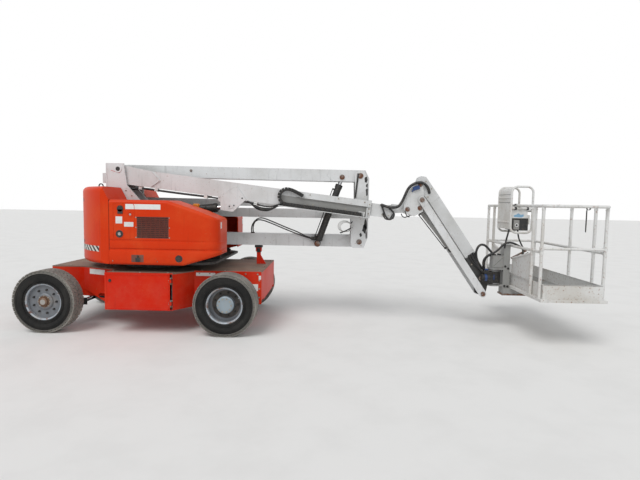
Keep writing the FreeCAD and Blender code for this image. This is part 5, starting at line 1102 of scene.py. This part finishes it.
def boom_hoses():
    boom_blocks("boom_hose_clamps", "main_boom", "label_white", 0.004,
                *((u - 0.022, u + 0.022, -0.212, -0.1735, -0.2540, -0.2000) for u in (0.275, 0.470, 1.085, 1.700)))
    runs = Piece("boom_hoses", "main_boom", "hose_black")
    for k, (y, n) in enumerate(((-0.245, -0.192), (-0.226, -0.196), (-0.209, -0.190))):
        route = [(0.13, n - 0.045, y), (0.18, n - 0.020, y), (0.30, n, y), (0.60, n - 0.004, y), (1.00, n, y),
                 (1.150, n + 0.004, y)]
        if k == 0:
            route[-1] = (1.130, n + 0.002, -0.238)
            route += [(1.210, -0.192, -0.2225), (1.380, -0.192, -0.2195), (1.540, -0.192, -0.2225), (1.640, n, y),
                      (1.700, n, y), (1.790, -0.214, y), (1.900, -0.208, -0.268), (1.985, -0.165, -0.285),
                      (2.040, -0.146, -0.289)]
        runs.tube([on_boom(*place) for place in route], 0.0095)
    runs.done()
    sag = Piece("boom_sagging_hoses", "main_boom", "hose_black")
    for k, drop in enumerate((0.245, 0.262, 0.232)):
        sag.tube([on_boom(u, n, -0.262 + 0.012 * k)
                  for u, n in ((1.600, -0.1760), (1.640, -0.190), (1.720, -drop), (1.860, -drop - 0.006),
                               (1.960, -0.200), (2.030, -0.150))], 0.0080)
    sag.done()


def extension_details():
    end = 3.400
    boom_blocks("extension_end_cap", "boom_extension", "white_paint", 0.002,
                *((end - 0.075, end - 0.001, n0, n1, -0.244, -0.086)
                  for n0, n1 in ((0.0037, 0.0085), (-0.1563, -0.1515))))
    loop = Piece("extension_hose_loops", "boom_extension", "hose_black")
    for radius, route in (
            (0.0105, ((2.780, -0.2485, 1.508), (2.800, -0.262, 1.480), (2.830, -0.262, 1.380), (2.880, -0.262, 1.318),
                      (2.935, -0.262, 1.345), (2.950, -0.262, 1.400), (2.905, -0.262, 1.445), (2.880, -0.250, 1.460))),
            (0.0075, ((2.810, -0.2485, 1.400), (2.820, -0.256, 1.350), (2.860, -0.256, 1.322), (2.905, -0.256, 1.335),
                      (2.925, -0.2485, 1.390)))):
        loop.tube([at(*place) for place in route], radius)
    loop.done()
    bolts("extension_bolts", "boom_extension", [on_boom(u, n, -0.240) for u in (3.250, 3.330) for n in (-0.12, -0.03)],
          NEAR, 0.007)


def boom_details():
    pivot_details()
    boom_side_details()
    boom_hoses()
    extension_details()


# Jib details

def knuckle_details():
    pin_ends("knuckle_pins", "jib_knuckle",
             [(x, JIB_Y + side * out, z, side, 0.020) for side in (-1, 1)
              for x, out, z in ((3.105, 0.095, 1.455), (3.250, 0.095, 1.757), (3.255, 0.095, 1.472),
                                (3.270, 0.132, 1.572))])
    crossing_hose("jib_conduit_low",
                  ((2.781, -0.270, 1.506), (2.866, -0.276, 1.473), (2.952, -0.278, 1.470), (3.015, -0.278, 1.500),
                   (3.055, -0.278, 1.594)), 0.0165)
    hose("jib_conduit_middle", "jib_knuckle",
         ((3.0548, -0.278, 1.5935), (3.082, -0.280, 1.665), (3.115, -0.280, 1.724), (3.160, -0.280, 1.758),
          (3.190, -0.279, 1.7705)), 0.0165)
    crossing_hose("jib_conduit_high",
                  ((3.1895, -0.279, 1.7702), (3.230, -0.276, 1.782), (3.285, -0.268, 1.775), (3.335, -0.256, 1.735),
                   (3.358, -0.245, 1.690), (3.368, -0.232, 1.652)),
                  0.0165)
    blocks("conduit_clips", "jib_knuckle", "dark_steel", 0.002,
           (3.098, 3.118, -0.300, -0.258, 1.700, 1.716), (3.040, 3.064, -0.296, -0.258, 1.580, 1.592))
    valve = Piece("knuckle_valve", "jib_knuckle", "signal_blue")
    valve.box(at(3.200, -0.2710, 1.712), (0.082, 0.026, 0.046), turn_y(math.radians(18)))
    valve.rod(at(3.168, -0.266, 1.690), at(3.150, -0.266, 1.668), 0.010, 14)
    valve.done(bevel=0.003)
    tubes("knuckle_hoses", "jib_knuckle", "hose_black", 0.006,
          (((3.030, -0.2650, 1.400), (3.035, -0.2700, 1.372), (3.070, -0.2700, 1.352), (3.098, -0.2700, 1.366),
            (3.138, -0.2660, 1.380)),
           ((3.072, -0.2650, 1.440), (3.082, -0.2700, 1.400), (3.100, -0.2700, 1.370), (3.130, -0.2660, 1.362))))


def beam_details():
    turn = turn_y(JIB_TILT)
    rims = Piece("jib_beam_edges", "jib_beam", "white_paint")
    for y in (-0.2315, -0.0985):
        for s, long in ((0.255, 0.012), (1.050, 0.016)):
            rims.box(on_jib(s, 0.049, y), (long, 0.004, 0.136), turn)
    rims.done(bevel=0.0015)
    seal = Piece("jib_beam_mouth", "jib_beam", "black_plastic")
    seal.box(on_jib(1.052, 0.049, JIB_Y), (0.010, 0.114, 0.122), turn).done(bevel=0.002)
    spots = ((0.010, 0.080), (0.120, 0.090), (0.180, 0.000), (1.110, 0.060), (1.170, 0.000))
    bolts("jib_beam_bolts", "jib_beam", [on_jib(s, n, -0.230) for s, n in spots], NEAR, 0.007)
    arms = Piece("levelling_arm_caps", "levelling_arms", "white_paint")
    for s in (0.075, 1.295):
        for y in (-0.2925, -0.0375):
            arms.box(laid((3.270, 1.572), JIB_TILT, s, 0.0, y), (0.008, 0.003, 0.084), turn)
    arms.done(bevel=0.001)


def mount_details():
    pin_ends("levelling_pin_nuts", "platform_mount",
             [(x, JIB_Y + side * out, z, side, 0.020) for side in (-1, 1)
              for x, out, z in ((4.046, 0.132, 0.4429), (4.026, 0.095, 0.6279))])
    motor = Piece("rotator_motor", "platform_mount", "dark_steel")
    motor.rod(at(4.030, -0.297, 0.645), at(4.118, -0.297, 0.645), 0.040, 32)
    motor.rod(at(4.018, -0.297, 0.645), at(4.032, -0.297, 0.645), 0.046, 32)
    motor.box(at(4.085, -0.278, 0.700), (0.072, 0.046, 0.044))
    motor.rod(at(4.078, -0.286, 0.700), at(4.078, -0.286, 0.740), 0.020, 28)
    motor.rod(at(4.172, -0.2270, 0.590), at(4.172, -0.2270, 0.700), 0.028, 28)
    motor.done(bevel=0.004)
    blue = Piece("rotator_motor_cap", "platform_mount", "signal_blue")
    blue.rod(at(4.078, -0.286, 0.736), at(4.078, -0.286, 0.752), 0.022, 24)
    blue.rod(at(4.050, -0.297, 0.645), at(4.078, -0.297, 0.645), 0.0425, 32)
    blue.rod(at(4.172, -0.2270, 0.615), at(4.172, -0.2270, 0.675), 0.0300, 28)
    blue.done(bevel=0.002)
    ring = Piece("rotator_rings", "platform_mount", "bare_steel")
    for z in (0.560, 0.716):
        ring.lathe([(0.0795, 0.0), (0.0845, 0.002), (0.0845, 0.008), (0.0795, 0.010)], at(4.205, JIB_Y, z), UP, 48,
                   closed=True)
    ring.done()
    for k, y in enumerate((-0.243, -0.254, -0.243)):
        crossing_hose("mount_hose_%d" % (k + 1),
                      ((3.868 + 0.022 * k, y, 0.908 + 0.016 * k), (3.892 + 0.022 * k, y, 0.868 + 0.016 * k),
                       (3.940 + 0.012 * k, y - 0.004, 0.805 + 0.014 * k), (3.990, y - 0.010, 0.755 + 0.012 * k),
                       (4.030, y - 0.014, 0.715), (4.060, y - 0.010, 0.686)),
                      0.0125)
    crossing_hose("arch_hose",
                  ((4.070, -0.215, 0.725), (4.010, -0.226, 0.790), (3.965, -0.246, 0.866), (3.950, -0.257, 0.965),
                   (3.990, -0.255, 1.040), (4.056, -0.240, 1.042), (4.120, -0.222, 0.985), (4.170, -0.205, 0.930),
                   (4.200, -0.200, 0.900)), 0.0140)
    crossing_hose("second_hose",
                  ((4.085, -0.180, 0.722), (4.062, -0.190, 0.790), (4.070, -0.200, 0.863), (4.125, -0.210, 0.919),
                   (4.195, -0.222, 0.945), (4.246, -0.232, 0.998)), 0.0125)
    crossing_hose("third_hose",
                  ((4.100, -0.150, 0.722), (4.088, -0.150, 0.800), (4.110, -0.150, 0.870), (4.150, -0.150, 0.905),
                   (4.200, -0.150, 0.9035)), 0.0110)


def jib_details():
    knuckle_details()
    beam_details()
    mount_details()


# Platform details

SHIELD_PROFILE = ((4.3085, 1.240), (4.3085, 1.660), (4.314, 1.690), (4.328, 1.714), (4.350, 1.730), (4.380, 1.7375),
                  (4.430, 1.7375))
SHIELD_Y = (-0.362, 0.032)
FLOOR_X, FLOOR_Y, FLOOR_Z = (4.428, 5.037), (-1.037, 0.707), 0.5425
FLOOR_BARS_ACROSS, FLOOR_BARS_ALONG = 31, 87
CONSOLE_TOP = 1.4385


def bracket_details():
    hose("post_hose", "platform", ((4.246, -0.232, 0.998), (4.290, -0.240, 1.060), (4.372, -0.245, 1.078),
                                   (4.460, -0.262, 1.040), (4.520, -0.285, 0.990), (4.500, -0.288, 0.930)), 0.0125)
    hose("console_hose_1", "platform", ((4.300, -0.236, 1.000), (4.312, -0.240, 1.090), (4.330, -0.250, 1.180),
                                        (4.350, -0.262, 1.298)), 0.0105)
    hose("console_hose_2", "platform", ((4.520, -0.288, 0.985), (4.480, -0.280, 1.060), (4.440, -0.270, 1.160),
                                        (4.430, -0.262, 1.298)), 0.0090)
    blocks("junction_lid", "platform", "grey_paint", 0.002, (4.174, 4.300, -0.2245, -0.2198, 0.762, 0.896),
           (4.170, 4.304, -0.2225, -0.1075, 0.9035, 0.909))
    seam = Piece("junction_glands", "platform", "black_plastic")
    for x, y in ((4.200, -0.200), (4.200, -0.150), (4.265, -0.190), (4.265, -0.140)):
        seam.rod(at(x, y, 0.900), at(x, y, 0.926), 0.014, 14)
    seam.box(at(4.237, -0.2248, 0.829), (0.150, 0.0010, 0.003), turn_y(math.radians(44)))
    seam.done(bevel=0.0005)
    spots = [at(4.182 + 0.110 * i, -0.2245, 0.770 + 0.118 * j) for i in (0, 1) for j in (0, 1)]
    bolts("junction_screws", "platform", spots, NEAR, 0.0045)
    posts = ((4.325, 0.777), (4.362, 0.751), (4.325, 0.534), (4.362, 0.530))
    for name, y, way in (("post_bolts", -0.225, NEAR), ("post_bolts_far", -0.105, ALONG_Y)):
        bolts(name, "platform", [at(x, y, z) for x, z in posts], way, 0.011, "dark_steel")
    blocks("post_foot_rust", "platform", "rusty_steel", 0.002, (4.2945, 4.586, -0.2455, -0.0845, 0.4215, 0.4445))
    strut = Piece("black_strut", "platform", "black_plastic")
    strut.rod(at(4.425, -0.246, 0.895), at(4.476, -0.246, 0.545), 0.013, 18).done()
    brace = Piece("panel_brace", "platform", "rusty_steel")
    brace.rod(at(4.385, -0.232, 0.880), at(4.545, -0.292, 0.985), 0.011, 16).done()
    sheets("post_side_panel", "platform", "grey_paint", 0.0008,
           (-0.3000, ((4.440, 0.545), (4.566, 0.545), (4.566, 0.970), (4.446, 0.905)), 0.003), segments=1)


def console_details():
    y0, y1 = SHIELD_Y
    shield = Piece("control_shield", "platform", "platform_paint")
    for (xa, za), (xb, zb) in zip(SHIELD_PROFILE, SHIELD_PROFILE[1:]):
        way = Vector((xb - xa, 0, zb - za)).normalized()
        out = Vector((-way.z, 0, way.x)) * 0.003
        shield.plate([at(xa, y0, za), at(xb, y0, zb), at(xb, y1, zb), at(xa, y1, za)], out)
    shield.done()
    blocks("shield_seams", "platform", "grey_paint", 0.0006, (4.3040, 4.3062, y0 + 0.01, y1 - 0.01, 1.552, 1.562),
           (4.3040, 4.3062, y0 + 0.01, y1 - 0.01, 1.650, 1.656), segments=1)
    desk = Piece("console_face", "platform", "black_plastic")
    desk.plate([at(4.335, -0.330, 1.4487), at(4.505, -0.330, 1.4160), at(4.505, 0.000, 1.4160),
                at(4.335, 0.000, 1.4487)], Vector((0.0006, 0, 0.003)))
    desk.done(bevel=0.001)
    blocks("console_side_cover", "platform", "label_white", 0.004, (4.318, 4.512, -0.3490, -0.3400, 1.372, 1.512),
           (4.318, 4.330, -0.3450, -0.0100, 1.400, 1.470))
    smudge = Piece("console_smudge", "platform", "pale_blue")
    smudge.sheet(-0.3488, ((4.352, 1.386), (4.440, 1.382), (4.470, 1.398), (4.462, 1.420), (4.430, 1.412),
                           (4.405, 1.432), (4.376, 1.414), (4.350, 1.408)), -0.0008).done(smooth=False)
    blocks("console_under_box", "platform", "grey_paint", 0.004, (4.352, 4.420, -0.352, -0.300, 1.236, 1.350))
    blocks("console_lower_panel", "platform", "black_plastic", 0.001, (4.318, 4.524, -0.346, -0.341, 1.226, 1.372),
           (4.330, 4.500, -0.341, -0.150, 1.230, 1.302))
    gap = Piece("console_gap", "platform", "black_plastic")
    gap.disc(at(4.386, -0.353, 1.290), ALONG_Y, 0.022, 0.005, 28).done(bevel=0.001)
    switch = Piece("round_switch", "platform", "label_white")
    switch.lathe([(0.013, 0.0), (0.021, 0.0), (0.021, 0.003), (0.013, 0.003)], at(4.386, -0.3552, 1.290), NEAR, 28,
                 closed=True).done()
    sticks = Piece("joysticks", "platform", "black_plastic")
    for y in (-0.270, -0.060):
        foot = at(4.400, y, CONSOLE_TOP)
        sticks.lathe([(0.026, 0.0), (0.022, 0.008), (0.014, 0.016), (0.009, 0.024)], foot, UP, 24)
        sticks.rod(foot, at(4.400, y, CONSOLE_TOP + 0.070), 0.0055, 12)
        sticks.rod(at(4.400, y, CONSOLE_TOP + 0.060), at(4.400, y, CONSOLE_TOP + 0.105), 0.013, 18, 0.017)
    sticks.done()
    stop = Piece("stop_button", "platform", "signal_red")
    stop.rod(at(4.455, -0.165, 1.427), at(4.455, -0.165, 1.446), 0.010, 18)
    stop.rod(at(4.455, -0.165, 1.446), at(4.455, -0.165, 1.456), 0.020, 28, 0.017)
    stop.done(bevel=0.0015)
    toggles = Piece("toggle_switches", "platform", "bare_steel")
    for k in range(7):
        y = -0.235 + 0.024 * k
        if abs(y + 0.165) > 0.020:
            toggles.rod(at(4.405, y, 1.438), at(4.405, y, 1.446), 0.006, 12)
            toggles.rod(at(4.405, y, 1.444), at(4.410, y, 1.464), 0.0022, 8)
    for k in range(4):
        toggles.disc(at(4.370, -0.210 + 0.030 * k, 1.446), UP, 0.0075, 0.006, 16)
    toggles.done()
    lamps = Piece("console_lamps", "platform", "signal_green")
    for k in range(3):
        lamps.ball(at(4.355, -0.300 + 0.024 * k, 1.449), 0.005, 10)
    lamps.done()
    clamp = Piece("guard_clamps", "platform", "black_plastic")
    for side in (-1, 1):
        for x in (4.360, 4.500):
            clamp.lathe([(0.0165, -0.010), (0.0195, -0.010), (0.0195, 0.010), (0.0165, 0.010)],
                        at(x, -0.165 + side * 0.200, 1.4895), ALONG_X, 24, closed=True)
    clamp.done()


def floor_and_rail_details():
    grid = Piece("platform_floor_grid", "platform", "grey_paint")
    (x0, x1), (y0, y1) = FLOOR_X, FLOOR_Y
    for k in range(FLOOR_BARS_ACROSS):
        x = x0 + (x1 - x0) * k / (FLOOR_BARS_ACROSS - 1)
        grid.box(at(x, (y0 + y1) / 2, FLOOR_Z), (0.0045, y1 - y0, 0.003))
    for k in range(FLOOR_BARS_ALONG):
        y = y0 + (y1 - y0) * k / (FLOOR_BARS_ALONG - 1)
        grid.box(at((x0 + x1) / 2, y, FLOOR_Z), (x1 - x0, 0.0045, 0.003))
    grid.done(smooth=False)
    blocks("toe_board_hems", "platform", "platform_paint", 0.002,
           *((4.424, 5.041, y - 0.006, y + 0.006, 0.686, 0.6945) for y in (-1.0390, 0.7090)),
           *((x - 0.006, x + 0.006, -1.040, 0.710, 0.686, 0.6945) for x in (4.4235, 5.0415)))
    beads = Piece("rail_welds", "platform", "platform_paint")
    for x, places in ((4.402, (-1.003, 0.673, -0.780, 0.450)), (5.063, (-1.003, 0.673, -0.285, -0.790))):
        for y in places:
            for z in (1.032, 1.5035):
                beads.lathe([(0.0165, -0.020), (0.0198, -0.014), (0.0185, 0.012), (0.0165, 0.016)],
                            at(x, y, z - 0.012), UP, 24, closed=True)
    beads.done()
    feet = [at(x, y, 0.542) for x in (4.470, 5.000) for y in (-0.96, -0.55, 0.22, 0.63)]
    bolts("floor_bolts", "platform", feet, UP, 0.008)
    strap = Piece("lanyard_strap", "platform", "black_plastic")
    strap.box(at(5.0445, -0.640, 1.375), (0.003, 0.022, 0.215))
    strap.lathe([(0.0185, -0.013), (0.0212, -0.013), (0.0212, 0.013), (0.0185, 0.013)], at(5.063, -0.640, 1.5035),
                ALONG_Y, 24, closed=True)
    strap.rod(at(5.0445, -0.640, 1.270), at(5.0445, -0.640, 1.235), 0.006, 12)
    strap.done()


def platform_details():
    bracket_details()
    console_details()
    floor_and_rail_details()


# Floor, light and camera

PHOTO_WIDTH, SENSOR_WIDTH = 640.0, 36.0
FOCAL_PIXELS = 463.0
PITCH, ROLL, YAW = 0.076768, 0.017708, -0.020768
CAMERA_PLACE = (2.1672, -5.9070, 1.4951)
FLOOR_SIZE = 60.0
# Name, direction, angle in degrees and strength
SUNS = (("key", (-2.2, -4.2, 6.0), 34.0, 1.58), ("fill", (5.0, -5.0, 3.5), 60.0, 0.55))


def show(name, data):
    shown = bpy.data.objects.new(name, data)
    bpy.context.scene.collection.objects.link(shown)
    return shown


def camera():
    data = bpy.data.cameras.new("camera")
    data.sensor_width = SENSOR_WIDTH
    data.lens = FOCAL_PIXELS / PHOTO_WIDTH * SENSOR_WIDTH
    ahead = Vector((math.sin(YAW) * math.cos(PITCH), math.cos(YAW) * math.cos(PITCH), -math.sin(PITCH)))
    flat_right = Vector((math.cos(YAW), -math.sin(YAW), 0.0))
    flat_up = flat_right.cross(ahead)
    right = flat_right * math.cos(ROLL) + flat_up * math.sin(ROLL)
    up = flat_up * math.cos(ROLL) - flat_right * math.sin(ROLL)
    shown = show("camera", data)
    shown.matrix_world = Matrix.Translation(at(*CAMERA_PLACE)) @ Matrix((right, up, -ahead)).transposed().to_4x4()
    bpy.context.scene.camera = shown


def ground():
    data = bpy.data.meshes.new("floor")
    shape = bmesh.new()
    bmesh.ops.create_grid(shape, x_segments=1, y_segments=1, size=FLOOR_SIZE)
    shape.to_mesh(data)
    shape.free()
    floor = show("floor", data)
    paint = Paint("floor_paint", (0.78, 0.77, 0.75), 0.8)
    paint.stain((2.0, 4.0), 0.4, 0.7, (0.72, 0.71, 0.69), 0.5)
    data.materials.append(paint.done())


def light():
    """A white studio for the camera, glossy and transmitted rays, softer light for all others, and two suns."""
    world = bpy.data.worlds.new("studio")
    bpy.context.scene.world = world
    world.use_nodes = True
    tree = world.node_tree
    tree.nodes.clear()
    soft = shader_node(tree, "Background", {"Color": (0.93, 0.96, 1.0, 1.0), "Strength": 0.50}).outputs[0]
    white = shader_node(tree, "Background", {"Color": (1.0, 1.0, 1.0, 1.0)}).outputs[0]
    path = shader_node(tree, "LightPath").outputs
    seen = path["Is Camera Ray"]
    for ray in ("Is Glossy Ray", "Is Transmission Ray"):
        seen = shader_node(tree, "Math", {0: seen, 1: path[ray]}, operation="MAXIMUM").outputs[0]
    shader_node(tree, "OutputWorld", {0: shader_node(tree, "MixShader", {0: seen, 1: soft, 2: white}).outputs[0]})
    for name, way, angle, power in SUNS:
        data = bpy.data.lights.new(name, "SUN")
        data.angle = math.radians(angle)
        data.energy = power
        turn = Vector(way).to_track_quat("Z", "Y").to_matrix().to_4x4()
        show(name, data).matrix_world = Matrix.Translation(at(0, 0, 9)) @ turn
    bpy.context.scene.view_settings.view_transform = "Standard"


def stage():
    camera()
    ground()
    light()


paint_frame()
wheels()
chassis_details()
turntable_details()
cylinders()
riser_details()
boom_details()
jib_details()
platform_details()
stage()
